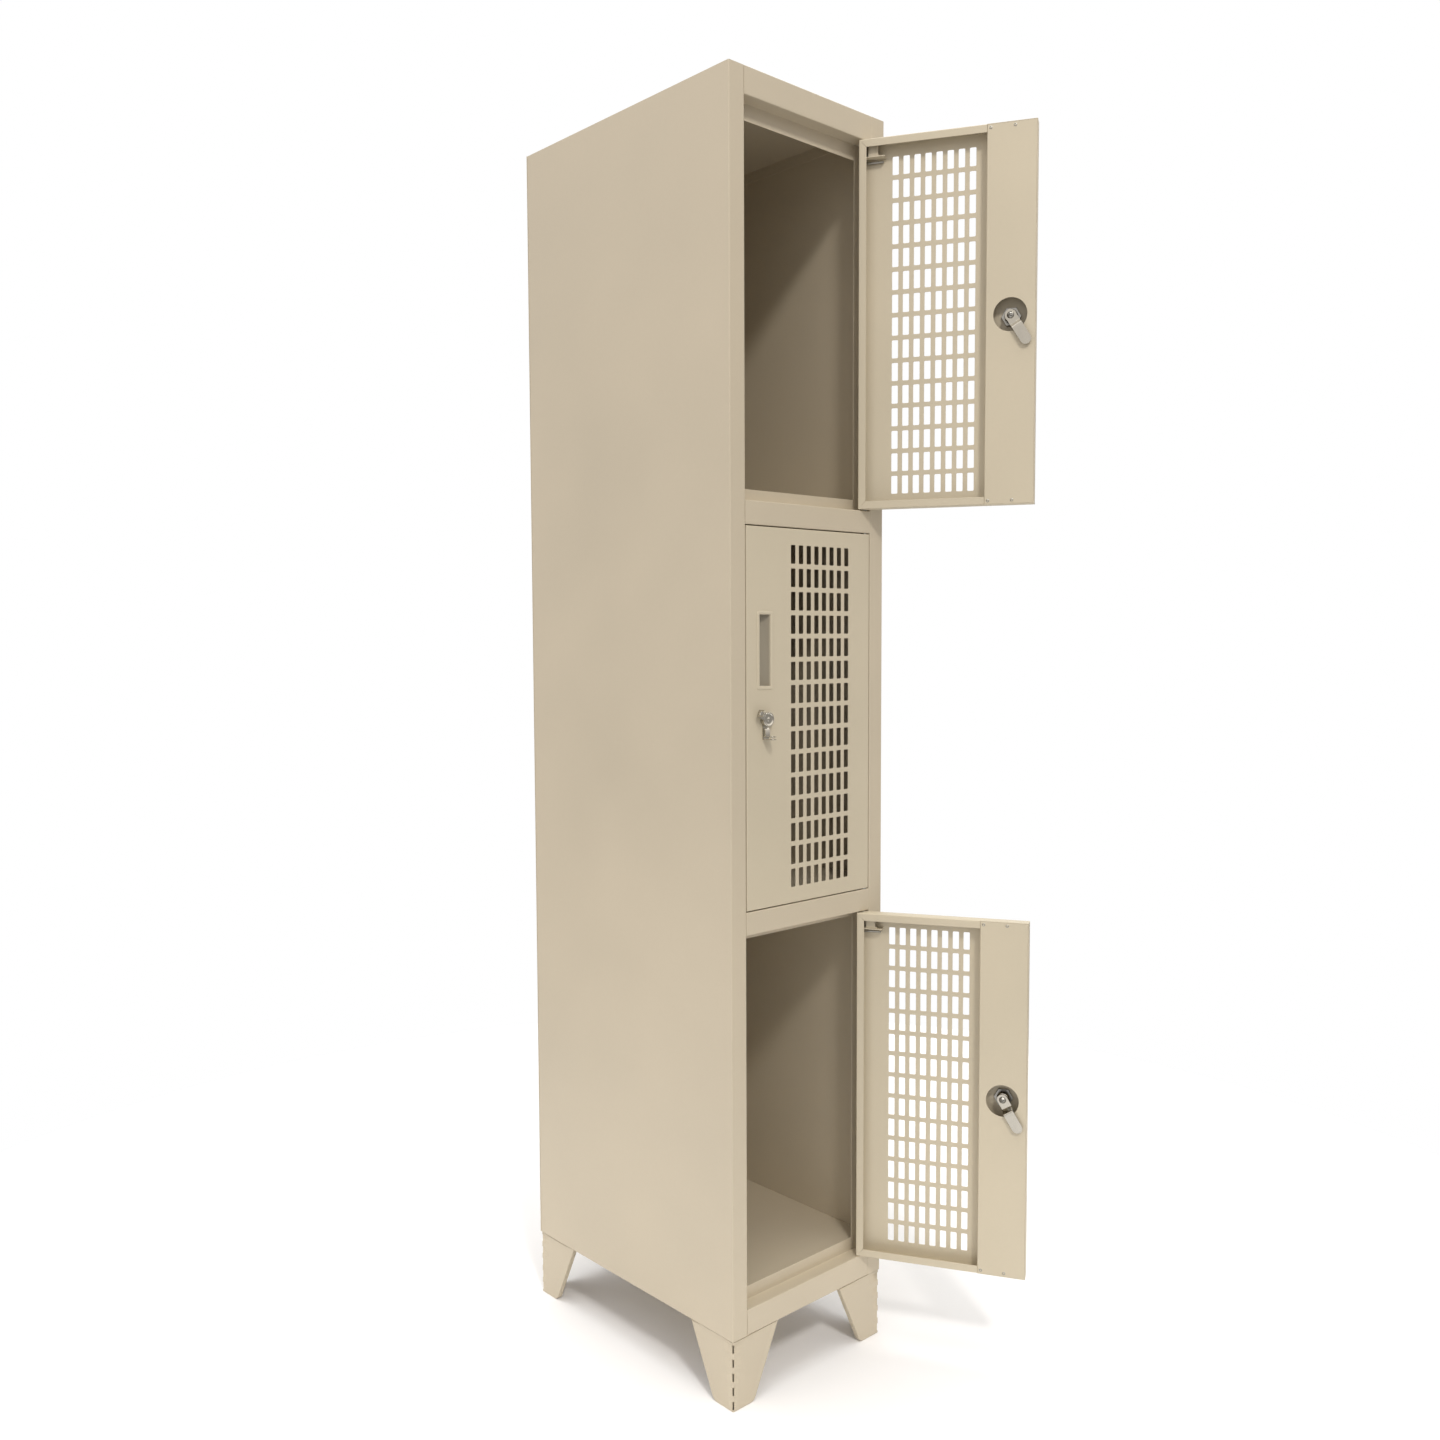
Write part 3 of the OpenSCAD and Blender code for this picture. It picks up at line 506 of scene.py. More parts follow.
def side_panel(lip):
    """The left side panel: its section (rear fold, wall, stile, rebate, lip) is carried up; the wall draws
    in by a slow wave that dies away at the folds."""
    wall, rear, stile, side = LEFT + HALF, REAR - BACK - HALF, FRONT + HALF, OPEN_LEFT - HALF
    stop = FRONT + size("sheets", "rebate") + HALF
    line = refined(fold_line([(LEFT + REAR_FOLD, rear), (wall, rear), (wall, stile), (side, stile),
                              (side, stop), (OPEN_LEFT + lip, stop)]), 18)
    levels = np.linspace(0, 1, 57)

    def up(x, y, s):
        # the wall and the stile's face reach up beside the roof's folds, the rest ends under it
        top = np.where((x < LEFT + 1) | (y < FRONT + 1), ROOF - 0.6, ROOF - 1)
        z = FOOT + (top - FOOT) * s
        on_wall = np.where(x < LEFT + 0.6, 1.0, 0.0)
        v = np.clip((y - FRONT - 2) / (REAR - FRONT - 5), 0, 1)
        wave = np.sin(np.pi * v) ** 2 * (0.5 + 0.3 * np.sin(2 * np.pi * (s * 2.7 + 0.1))
                                         + 0.2 * np.sin(2 * np.pi * (s * 4.3 + v)))
        return x + on_wall * wave * np.sqrt(np.abs(np.sin(np.pi * s))) * size("sheets", "wave"), y, z
    foot = flat_grid([LEFT + 1.2, LEFT + 11, LEFT + 21], [FRONT + 1.2, REAR - 2.2], [FOOT + HALF])
    return [lattice(carried(line, levels, up)), lattice(foot)]


def tray(level):
    """A compartment floor: a flat sheet with all four edges folded down and mitred at the corners."""
    a, b = (LEFT + 1, RIGHT - 1), (FRONT + size("sheets", "rebate") + 1, REAR - 2)
    profile = fold_line([(3, HALF), (HALF, HALF), (HALF, TRAY_FOLD)])[1:]
    xs, ys = (np.linspace(lo + 1.5, hi - 1.5, 9) for lo, hi in (a, b))
    parts = [lattice(flat_grid(xs, ys, [level - HALF]))]
    for (low, high), nodes, cross, square in ((a, xs, b, True), (b, ys, a, False)):
        for edge, sign in zip(cross, (1, -1)):
            along, inset, depth = rim(nodes, low, high, profile)
            other = edge + sign * inset
            pair = (along, other) if square else (other, along)
            parts.append(lattice(xyz(*pair, level - depth)))
    return parts


def across(line, between, behind):
    """A section of (y, z) carried across the opening; next to the stiles it loses the cells marked as
    behind them, where the stiles' own lips run."""
    xs = np.array([OPEN_LEFT, OPEN_LEFT + 5, *between, OPEN_RIGHT - 12, OPEN_RIGHT])
    ends = np.zeros(len(xs) - 1, bool)
    ends[[0, -1]] = True
    return lattice(carried(line, xs, lambda y, z, s: (s, y, z)), keep=~(ends[:, None] & behind))


def roof_sheet():
    """The roof: one section (rear fold, roof, fascia, soffit, lip) carried across the opening, and strips
    over the stiles with folds down the sides."""
    rebate = size("sheets", "rebate")
    soffit = TIER_FLOOR["top"] + DOOR_H + 2 * DOOR_GAP
    level, rear, face, stop = ROOF - 0.56, REAR - 2.5, FRONT + HALF, FRONT + rebate + HALF
    line = fold_line([(rear, ROOF - 17), (rear, level), (face, level), (face, soffit + HALF),
                      (stop, soffit + HALF), (stop, soffit - ROOF_LIP)])
    behind = (line[:-1, 1] < ROOF - 20) & (line[:-1, 0] > FRONT + rebate - 2.2)
    parts = [across(line, (-60, 0, 60), behind)]
    over = fold_line([(OPEN_LEFT, level), (LEFT + 1.5, level), (LEFT + 1.5, ROOF - 17)])
    strip = carried(over, [REAR - 3.5, FRONT + 1.5], lambda x, z, s: (x, s, z))
    back = carried(line[:6], [OPEN_LEFT, LEFT + 2.5], lambda y, z, s: (s, y, z))
    for part in (lattice(strip), lattice(back)):
        parts += [part, mirrored(part)]
    return parts


def cross_member(low, high, low_lip, high_lip):
    """A rail or the sill: its section is carried across the opening, and the lips stop short of the
    stiles' own."""
    rebate = size("sheets", "rebate")
    y_lip, y_face = FRONT + rebate + HALF, FRONT + HALF
    rear = [(y_lip, low - low_lip), (y_lip, low + HALF)] if low_lip else [(FRONT + rebate, low + HALF)]
    line = fold_line(rear + [(y_face, low + HALF), (y_face, high - HALF), (y_lip, high - HALF),
                             (y_lip, high + high_lip)])
    behind = np.minimum(line[:-1, 0], line[1:, 0]) > y_lip - 1.2
    if not low_lip:
        behind[:5] = False
    return [across(line, (-62, 0, 56), behind)]


def grid_lines():
    """The door's grid lines: its folds, the recess, the latch hole and both sides of every slot and its
    corner radii."""
    doors = bpy.context.scene.locker_doors
    w, h, bar, r = sizes("doors", "slot_width", "slot_height", "slot_bar", "slot_corner")
    grid_w = doors.slot_columns * (w + bar) - bar
    grid_h = doors.slot_rows * (h + bar) - bar
    first_x = HINGE_EDGE - size("doors", "slot_margin") - grid_w
    sx = first_x + np.arange(doors.slot_columns) * (w + bar)
    sz = (DOOR_H - grid_h) / 2 + np.arange(doors.slot_rows) * (h + bar)
    axis_x = latch_axis()
    cell = 12.75  # half of the square round the latch hole
    spare = 1.25  # the skin's opening is this much larger than the recess, under the bezel
    cup_x = size("doors", "cup_width") / 2 + spare
    cup_low = DOOR_H / 2 + size("doors", "cup_rise") + size("doors", "cup_border") - spare
    cup_high = cup_low + size("doors", "cup_height") + 2 * spare
    fine = np.arange(-3, 4) * 3.2
    xs = np.concatenate([[LOCK_EDGE + 1.5, HINGE_EDGE - 1.5, LOCK_EDGE + size("doors", "box_width")],
                         axis_x + fine, [axis_x - cell, axis_x + cell, axis_x - cup_x, axis_x + cup_x],
                         (sx[:, None] + [0, r, w - r, w]).ravel(), [HINGE_EDGE - 25]])
    zs = np.concatenate([[1.5, DOOR_H - 1.5, cup_low, cup_high], DOOR_H / 2 + fine[1:-1],
                         (sz[:, None] + [0, r, h - r, h]).ravel()])
    xs, zs = (np.unique(np.round(v, 4)) for v in (xs, zs))
    return xs, zs, sx, sz, (axis_x, cell, cup_x, cup_low, cup_high)


def door_pan():
    """A door in its own millimetres. The front is a grid; slots are left out of it, fans round their
    corners, and a ring round the latch hole; the edges fold back and three of them fold in again as
    lips."""
    xs, zs, sx, sz, (axis_x, cell, cup_x, cup_low, cup_high) = grid_lines()
    w, h, r, lip = sizes("doors", "slot_width", "slot_height", "slot_corner", "lip")
    mid_x, mid_z = (xs[1:] + xs[:-1]) / 2, (zs[1:] + zs[:-1]) / 2
    slot = (((mid_x[:, None] > sx) & (mid_x[:, None] < sx + w)).any(1)[:, None]
            & ((mid_z[:, None] > sz) & (mid_z[:, None] < sz + h)).any(1)[None])
    cup = (np.abs(mid_x - axis_x) < cup_x)[:, None] & ((mid_z > cup_low) & (mid_z < cup_high))[None]
    hole = (np.abs(mid_x - axis_x) < cell)[:, None] & (np.abs(mid_z - DOOR_H / 2) < cell)[None]
    plane = FACE + HALF
    parts = [lattice(flat_grid(xs, [plane], zs), keep=~(slot | cup | hole))]

    # fans between each slot's corner and its arc
    quarter = np.linspace(0, np.pi / 2, 5)
    for cx, cz, turn in ((0, 0, 2), (w, 0, 3), (w, h, 0), (0, h, 1)):
        angle = quarter + turn * np.pi / 2
        inward = np.array([r if cx == 0 else -r, r if cz == 0 else -r])
        arc = inward + r * unit(angle)
        corner = np.stack(np.meshgrid(sx + cx, sz + cz, indexing="ij"), -1).reshape(-1, 1, 1, 2)
        points = np.insert(corner + np.stack([0 * arc, arc], 1), 1, plane, -1)
        n, m = points.shape[:2]
        base = (np.arange(n)[:, None] * m * 2 + np.arange(m - 1)[None] * 2).reshape(-1, 1)
        parts.append((points.reshape(-1, 3), base + np.array([[0, 1, 3, 2]]), []))

    near_x, near_z = (v[np.abs(v - c) < cell + 0.01] for v, c in ((xs, axis_x), (zs, DOOR_H / 2)))
    parts.append(hole_ring(outline_nodes(near_x, near_z), np.array([axis_x, DOOR_H / 2]),
                           size("latch", "barrel_radius") + 0.25, plane))

    # folded edges: the first profile runs to just before the lip, the others turn in or run straight on
    folded = fold_line([(3, HALF), (HALF, HALF), (HALF, DOOR_T - 1.5)])[1:]
    turned_in = fold_line([(HALF, DOOR_T - 3), (HALF, DOOR_T - HALF), (lip, DOOR_T - HALF)])[1:]
    straight = np.array([(HALF, DOOR_T - 1.5), (HALF, DOOR_T)])
    box_edge = np.round(LOCK_EDGE + size("doors", "box_width"), 4)
    lip_gap = 0.25

    def upright(edge, sign, profile, gap=0.0):
        along, inset, depth = rim(zs, 0, DOOR_H, profile, gap=gap)
        return lattice(xyz(edge + sign * inset, FACE + depth, along))

    def level(edge, sign, profile, nodes, low=True, high=True, gap=0.0):
        along, inset, depth = rim(nodes, LOCK_EDGE, HINGE_EDGE, profile, low, high, gap)
        return lattice(xyz(along, FACE + depth, edge + sign * inset))

    parts += [upright(LOCK_EDGE, 1, folded), upright(LOCK_EDGE, 1, straight),
              upright(HINGE_EDGE, -1, folded), upright(HINGE_EDGE, -1, turned_in, gap=lip_gap)]
    for edge, sign in ((0, 1), (DOOR_H, -1)):
        parts += [level(edge, sign, folded, xs),
                  level(edge, sign, turned_in, xs[xs >= box_edge - 0.01], low=False, gap=lip_gap),
                  level(edge, sign, straight, xs[xs <= box_edge + 0.01], high=False)]
    return parts


def lock_box():
    """The stiffening box: a plate with a round access hole, folded down to the skin beside the vents."""
    width, radius = size("doors", "box_width"), size("doors", "access_hole") / 2
    axis_x, mid = latch_axis(), DOOR_H / 2
    cell = radius + 4
    steps = np.linspace(-cell, cell, 15)
    xs = np.concatenate([[LOCK_EDGE + 1.1, LOCK_EDGE + width - 1.5], axis_x + steps])
    zs = np.concatenate([[1.1, 60, 140, DOOR_H - 140, DOOR_H - 60, DOOR_H - 1.1], mid + steps])
    xs, zs = (np.unique(np.round(v, 4)) for v in (xs, zs))
    plane, web_x = INNER - HALF, LOCK_EDGE + width - HALF
    mid_x, mid_z = (xs[1:] + xs[:-1]) / 2, (zs[1:] + zs[:-1]) / 2
    gone = (np.abs(mid_x - axis_x) < cell)[:, None] & (np.abs(mid_z - mid) < cell)[None]
    web = fold_line([(LOCK_EDGE + width - 4, plane), (web_x, plane), (web_x, FACE + 1.1)])[1:]
    return [lattice(flat_grid(xs, [plane], zs), keep=~gone),
            hole_ring(outline_nodes(axis_x + steps, mid + steps), np.array([axis_x, mid]), radius, plane),
            lattice(carried(web, zs, lambda x, y, s: (x, y, s)))]


def pull_cup():
    """The pull recess: a pressed height over a grid. The floor is flat at the lock side and rises on an
    arc to the hinge side; all walls are eased into it, and rings make the bezel round it."""
    w, h, border, depth = sizes("doors", "cup_width", "cup_height", "cup_border", "cup_depth")
    flat, blend, wall_reach, wall_power = 3.0, 1.1, 1.7, 2.6
    radius = ((w - flat) ** 2 + depth ** 2) / (2 * depth)
    near = np.array([0, 0.12, 0.35, 0.7, 1.1, 1.6, 2.3, 3.2])
    xs = np.concatenate([near, np.linspace(4.4, w - 2.6, 12), w - near[:6][::-1]])
    zs = np.concatenate([near, np.linspace(5, h - 5, 24), h - near[::-1]])

    def wall(s):
        return depth * np.sqrt(np.clip(1 - (1 - np.clip(s / wall_reach, 0, 1)) ** wall_power, 0, 1))
    floor = depth - radius + np.sqrt(np.clip(radius ** 2 - np.clip(xs - flat, 0, None) ** 2, 0, None))
    a, b = np.meshgrid(np.minimum(floor, wall(xs)), np.minimum(wall(zs), wall(h - zs)), indexing="ij")
    k = np.clip(0.5 + 0.5 * (b - a) / blend, 0, 1)
    deep = np.clip(b * (1 - k) + a * k - blend * k * (1 - k), 0, None)
    left = latch_axis() - w / 2
    low = DOOR_H / 2 + size("doors", "cup_rise") + border
    top, under_bezel = FACE - 0.55, 0.35
    bowl = xyz(left + xs[:, None], top + under_bezel + deep, low + zs)

    # bezel rings: distance outside the recess, and height above the face
    reach, lift = np.array([(0.0, -under_bezel), (0.35, -0.08), (0.9, 0.05), (2.2, 0.05),
                            (border - 0.9, 0.05), (border - 0.35, -0.1), (border, -0.5)]).T
    sides = outline_nodes(xs, zs)
    out = np.stack([(v == line[-1]).astype(int) - (v == line[0]) for v, line in zip(sides.T, (xs, zs))], 1)
    corner = np.abs(out).all(1)[:, None]
    grow = np.where(corner, reach - np.clip(reach, 0, 2) * 0.293, reach)
    spread = sides[:, None] + out[:, None] * grow[..., None]
    bezel = xyz(left + spread[..., 0], top - lift, low + spread[..., 1])
    return [lattice(bowl), lattice(bezel, around=True)]


def padlock_plates(rise, foot, places):
    """Plates square to the door, 1 mm thick: straight sides up to a half round, with a bore for the
    padlock, whose axis is the same in all of them."""
    half, bore, bore_height = 5, 3.5, 14
    dome = [(half * math.cos(a), rise + half * math.sin(a)) for a in np.linspace(0, math.pi, 13)]
    outer = ray_to_polygon(dome + [(-half, foot), (half, foot)], np.radians(np.arange(0, 360, 10)))
    p, cells, caps = bored(outer, circle(bore, 36), -HALF, HALF, 0.15)
    return [(np.column_stack([p[:, 0], p[:, 2] - place, p[:, 1] + bore_height]), cells, caps)
            for place in places]


def latch_fixed():
    """The fixed half of the latch: base plate with a tail, sloped neck, two bored staples and a barrel
    with thread ridges."""
    disc = 9.5 * unit(np.radians(np.linspace(-54, 234, 49)))
    plate = np.concatenate([disc, [(-5.5, -27.4), (5.5, -27.4)]])
    neck = np.array([(-23.4, 0.2), (-11.5, 0.2), (-11.5, 2.4), (-14.6, 5.0), (-23.4, 5.0)])
    points, cells, caps = slab(neck, -4.5, 4.5, 0.4)
    inner, outer, end, thread_depth = 4.05, size("latch", "barrel_radius"), -14, 0.42
    depth = np.arange(-13.4, -4.9, 0.5)
    thread = np.column_stack([outer - thread_depth * (np.arange(len(depth)) % 2), depth])
    barrel = np.concatenate([[(inner, 0.1), (inner, end), (8.1, end)], thread,
                             [(outer, -4.5), (outer, 0.1), (inner, 0.1)]])
    return [slab(plate, 0, 2, 0.35), (points[:, [2, 0, 1]], cells, caps),
            *padlock_plates(0.5, -13.5, (23.4, 26.9)), turned(barrel)]


def latch_knob():
    """The turning half: a dished disc with a rolled rim, an arm to the bored lug, and the spindle with its
    square end."""
    r = size("latch", "disc_radius")
    disc = [(0, 2.3), (r - 0.4, 2.3), (r, 2.7), (r, 6.7), (r - 0.16, 7.3), (r - 0.6, 7.8), (r - 1.2, 8.0),
            (r - 1.9, 7.8), (r - 2.4, 7.3), (r - 3.2, 6.9), (r - 4.2, 6.75), (2.9, 6.75), (2.4, 7.1),
            (1.9, 7.4), (0, 7.5)]
    arm = np.array([(-5, -21.6), (5, -21.6), (5, -7), (-5, -7)])
    square = np.array([(-2.8, -2.8), (2.8, -2.8), (2.8, 2.8), (-2.8, 2.8)])
    return [turned(disc, 64), slab(arm, 6.0, 7.85, 0.35), *padlock_plates(0, -7.6, (21.1,)),
            turned([(0, 2.6), (4, 2.6), (4, -13.9), (3.7, -14.2), (0, -14.2)], 32),
            slab(square, -16.15, -14.0, 0.2)]


def latch_cam():
    """The cranked cam: its middle line steps away from the door, and its width is a constant that closes
    to a half round at both ends."""
    reach, half = size("latch", "cam_reach"), size("latch", "cam_width") / 2
    hub_r, near, far = 7.9, -15.2, -24.6
    line = fold_line([(hub_r, near), (-12.5, near), (-17.6, far), (-reach, far)], 1.6, 5)
    ends = np.concatenate([-np.geomspace(0.05, 6, 9) + hub_r, np.geomspace(0.05, 7.4, 10) - reach])
    x = np.unique(np.round(np.concatenate([line[:, 0], ends, np.linspace(-40, 0, 12)]), 3))[::-1]
    z = np.interp(x, line[::-1, 0], line[::-1, 1])
    tip = np.sqrt(np.clip(half ** 2 - np.clip(-(reach - half) - x, 0, None) ** 2, 0, None))
    hub = np.sqrt(np.clip(hub_r ** 2 - np.clip(x, 0, None) ** 2, 0, None))
    width = np.minimum(np.minimum(tip, hub), half)
    v = np.linspace(-1, 1, 7)
    return [lattice(xyz(x[:, None], width[:, None] * v, z[:, None]))]


def cross_screw(z0, radius=5.0, rise=3.5):
    """A domed screw head, seen from behind the door: a cap's height over rings and rays, less a recess in
    the shape of a cross."""
    rings = np.concatenate([np.linspace(0, 3.2, 15), np.linspace(3.5, radius, 7)])
    a = turns(72)
    x, y = np.outer(np.cos(a), rings), np.outer(np.sin(a), rings)
    ball = (radius ** 2 + rise ** 2) / (2 * rise)
    high = rise - ball + np.sqrt(ball ** 2 - x ** 2 - y ** 2)
    arm, reach = np.minimum(np.abs(x), np.abs(y)), np.maximum(np.abs(x), np.abs(y))
    deep, arm_half, arm_reach = 1.6, 0.62, 2.6
    recess = deep * np.clip((arm_half - arm) / 0.25, 0, 1) * np.clip((arm_reach - reach) / 0.5, 0, 1)
    cap = xyz(x, y, z0 - (high - recess))
    under = np.zeros((len(a), 1, 3)) + (0, 0, z0)
    return [lattice(np.concatenate([cap, under], 1), around=True)]


def leg():
    """A leg at a corner, both flanges running inwards: each is a fan of lines from the fold to its free
    edge, whose hem is folded back, and the fold is a bend that the slots interrupt."""
    legs = bpy.context.scene.locker_legs
    t, top, foot, hem, toe = sizes("legs", "thickness", "top_width", "foot_width", "hem", "toe")
    pitch, slot = sizes("legs", "slot_pitch", "slot_length")
    height = FOOT - size("legs", "seam")
    low, hem_in, hem_bend = 0.6, 1.1, 0.5  # sole's height, and the hem's start and bend inside the edge
    slope = math.atan2(height, top - foot)
    centre = np.array([foot - toe * math.tan(slope / 2), toe])
    starts = 3 + pitch * np.arange(legs.fold_slots)
    rows = np.unique(np.round(np.concatenate([np.linspace(0, height, 41), starts, starts + slot]), 3))

    # free edge: sole, toe arc and slope, with the outward direction at each place
    u, sole_end, arc_end = rows / height, 0.12, 0.42
    sole = np.clip(u / sole_end, 0, 1)
    arc = np.clip((u - sole_end) / (arc_end - sole_end), 0, 1)
    rise = np.clip((u - arc_end) / (1 - arc_end), 0, 1)
    angle = -np.pi / 2 + slope * arc
    out = unit(angle)
    end = np.array([top, height])
    start = centre + toe * np.array([math.cos(slope - np.pi / 2), math.sin(slope - np.pi / 2)])
    edge = centre + toe * out
    edge[:, 0] = np.where(u < sole_end, 1.5 + (centre[0] - 1.5) * sole, edge[:, 0])
    edge = np.where((u > arc_end)[:, None], start + (end - start) * rise[:, None], edge)

    # face of a flange, from the fold to where its hem begins, and the hem round the edge
    fold_at = size("legs", "slot_width") / math.sqrt(2)
    near = np.column_stack([np.full(len(rows), fold_at), np.clip(rows, low, None)])
    inner = edge - out * hem_in
    inner = np.column_stack([np.clip(inner[:, 0], fold_at, None), np.clip(inner[:, 1], low, height)])
    mix = np.linspace(0, 1, 5)[None, :, None]
    face = near[:, None] * (1 - mix) + inner[:, None] * mix
    bend = np.linspace(0, np.pi / 2, 4)[1:]
    lip_in = np.append(hem_in - hem_bend * np.sin(bend), hem_in - hem_bend)
    lip_deep = np.append(t / 2 + hem_bend * (1 - np.cos(bend)), hem)
    back = edge[:, None] - out[:, None] * lip_in[None, :, None]
    back[..., 1] = np.clip(back[..., 1], low, height)
    flange = np.concatenate([xyz(face[..., 0], t / 2, face[..., 1]),
                             xyz(back[..., 0], lip_deep, back[..., 1])], 1)

    # the fold itself, open where a slot runs
    corner = fold_line([(fold_at, t / 2), (t / 2, t / 2), (t / 2, fold_at)], 0.9, 4)
    fold = carried(corner, near[:, 1], lambda x, y, z: (x, y, z))
    middle = (rows[1:] + rows[:-1]) / 2
    open_row = ((middle[:, None] > starts) & (middle[:, None] < starts + slot)).any(1)
    keep = np.repeat(~open_row[:, None], len(corner) - 1, 1)

    # stiffening strip across the inside of the fold, and the tabs that are bolted to the body
    strip = np.array([(13.0, t), (12.0, t + 0.6), (t + 0.6, 12.0), (t, 13.0)])
    parts = [lattice(flange), lattice(flange[..., [1, 0, 2]]), lattice(fold, keep=keep),
             lattice(carried(strip, rows[rows > low], lambda x, y, z: (x, y, z)))]
    for a, b, drop in ((62, 24, 0.02), (24, 62, 0)):
        parts.append(lattice(flat_grid([1.4, a], [1.4, b], [FOOT - t / 2 - drop])))
    return parts


def upper_pin():
    """The sprung pin: a chamfered head and shoulder, and a thinner stem that bends into the finger tail."""
    points, cells, _ = turned([(0, -8), (2.2, -8), (2.5, -7.7), (2.5, 6), (1.7, 7), (0, 7)], 32)
    line = fold_line([(0, -7.5), (0, -29), (-27, -29)], 3.0, 8)
    line = np.concatenate([[(0, -7.4)], line[:-1], [(-26.4, -29), (-26.8, -29), (-27, -29)]])
    radii = np.full(len(line), 1.75)
    radii[0], radii[-3:] = 0.0, (1.55, 1.0, 0.0)
    stem = np.column_stack([line[:, 0], np.zeros(len(line)), DOOR_H + line[:, 1]])
    return [(points + (0, 0, DOOR_H), cells, []), rod(stem, radii, 20)]


def pin_spring(rounds=6, per_round=28, sides=8):
    """The coil spring: a wire's circle carried along a helix between the bracket and the pin's shoulder."""
    wire, radius = 0.35, 2.3
    t = np.linspace(0, 1, rounds * per_round + 1)
    a = 2 * np.pi * rounds * t
    z = DOOR_H + SPRING_LOW + wire + (SPRING_HIGH - SPRING_LOW - 2 * wire) * t
    b = turns(sides)
    thick = np.full(len(t), wire)
    thick[[0, -1]] = 0
    r = radius + np.cos(b)[:, None] * thick
    wound = xyz(r * np.cos(a), r * np.sin(a), z + np.sin(b)[:, None] * thick)
    return [lattice(wound, around=True)]


def lower_pin():
    """The fixed pin under the door, with the washer that carries it and its riveted head inside."""
    return [turned([(0, -7), (1.9, -7), (2.5, -6.3), (2.5, -1.4), (3.7, -1.4), (4, -1.1), (4, -0.3), (3.8, 0),
                    (2.5, 0), (2.5, 1), (2.8, 1), (3, 1.3), (2.9, 2.1), (2.3, 2.5), (0, 2.5)], 32)]


def bracket():
    """The plate in the upper hinge corner, with a tab that stands up to the door's top wall."""
    z, tab_y, left, right = DOOR_H + SPRING_LOW - 0.75, 6.75, HINGE_EDGE - 26, HINGE_EDGE - 12
    plate = flat_grid([HINGE_EDGE - 36, left, right, HINGE_EDGE - 1.1], [FACE + 1.1, tab_y, FACE + 15], [z])
    foot, flare = z + 0.75, 4
    rise = foot + np.linspace(0, 1, 9) * (DOOR_H - 1.1 - foot)
    spread = flare * (1 - np.sqrt(1 - (1 - np.clip((rise - foot) / flare, 0, 1)) ** 2))
    tab = xyz(np.stack([left - spread, np.full(len(rise), right)]), tab_y, rise)
    return [lattice(plate), lattice(tab)]


def rivets():
    """Blind rivets at both ends of the stiffening box: a flat head with the hole that its mandrel leaves."""
    p, cells, _ = turned([(0, -0.2), (2.2, -0.2), (2.2, 0.2), (1.9, 0.5), (1.4, 0.6), (1.25, 0.5),
                          (1.2, -0.1), (0, -0.1)], 24)
    box_edge = LOCK_EDGE + size("doors", "box_width")
    return [(np.column_stack([x + p[:, 0], INNER + p[:, 2], z + p[:, 1]]), cells, [])
            for x in (box_edge - 5, box_edge - 38) for z in (5.5, DOOR_H - 5.5)]


# ---------------------------------------------------------------- finishes

FINISHES = {"body_paint": "Powder coat, body", "door_paint": "Powder coat, doors",
            "chrome": "Chrome plate", "zinc": "Zinc plate", "floor": "Studio floor"}
FACTOR, COLOUR_A, COLOUR_B, COLOUR = 0, 6, 7, 2  # inputs and output of a Mix node that mixes colours


def linear(code, alpha=1.0):
    """An sRGB hex colour as linear values: low values are divided, the rest follow the 2.4 power curve."""
    v = np.array([int(code[i:i + 2], 16) for i in (1, 3, 5)]) / 255
    v = np.where(v <= 0.04045, v / 12.92, ((v + 0.055) / 1.055) ** 2.4)
    return (*v.tolist(), alpha)


def add(tree, kind, inputs=(), **settings):
    """Adds a node: settings go to its attributes or its input sockets, and inputs are pairs of an input
    and the value or output socket that it gets."""
    node = tree.nodes.new(kind)
    for key, value in settings.items():
        if hasattr(node, key):
            setattr(node, key, value)
        else:
            node.inputs[key.replace("_", " ")].default_value = value
    for socket, source in inputs:
        if isinstance(source, bpy.types.NodeSocket):
            tree.links.new(source, node.inputs[socket])
        else:
            node.inputs[socket].default_value = source
    return node


def new_finish(slot):
    """An empty material: its node tree and its object coordinates."""
    material = bpy.data.materials.new(FINISHES[slot])
    material.use_nodes = True
    tree = material.node_tree
    tree.nodes.clear()
    return tree, add(tree, "ShaderNodeTexCoord").outputs["Object"]


def close_finish(tree, inputs, **settings):
    """Ends a material with its shader and output."""
    shader = add(tree, "ShaderNodeBsdfPrincipled", inputs, **settings)
    add(tree, "ShaderNodeOutputMaterial", [("Surface", shader.outputs["BSDF"])])


def shade(code, gain):
    """A hex colour made lighter or darker by a gain on its three values."""
    return "#" + "".join(f"{min(255, round(int(code[i:i + 2], 16) * gain)):02X}" for i in (1, 3, 5))


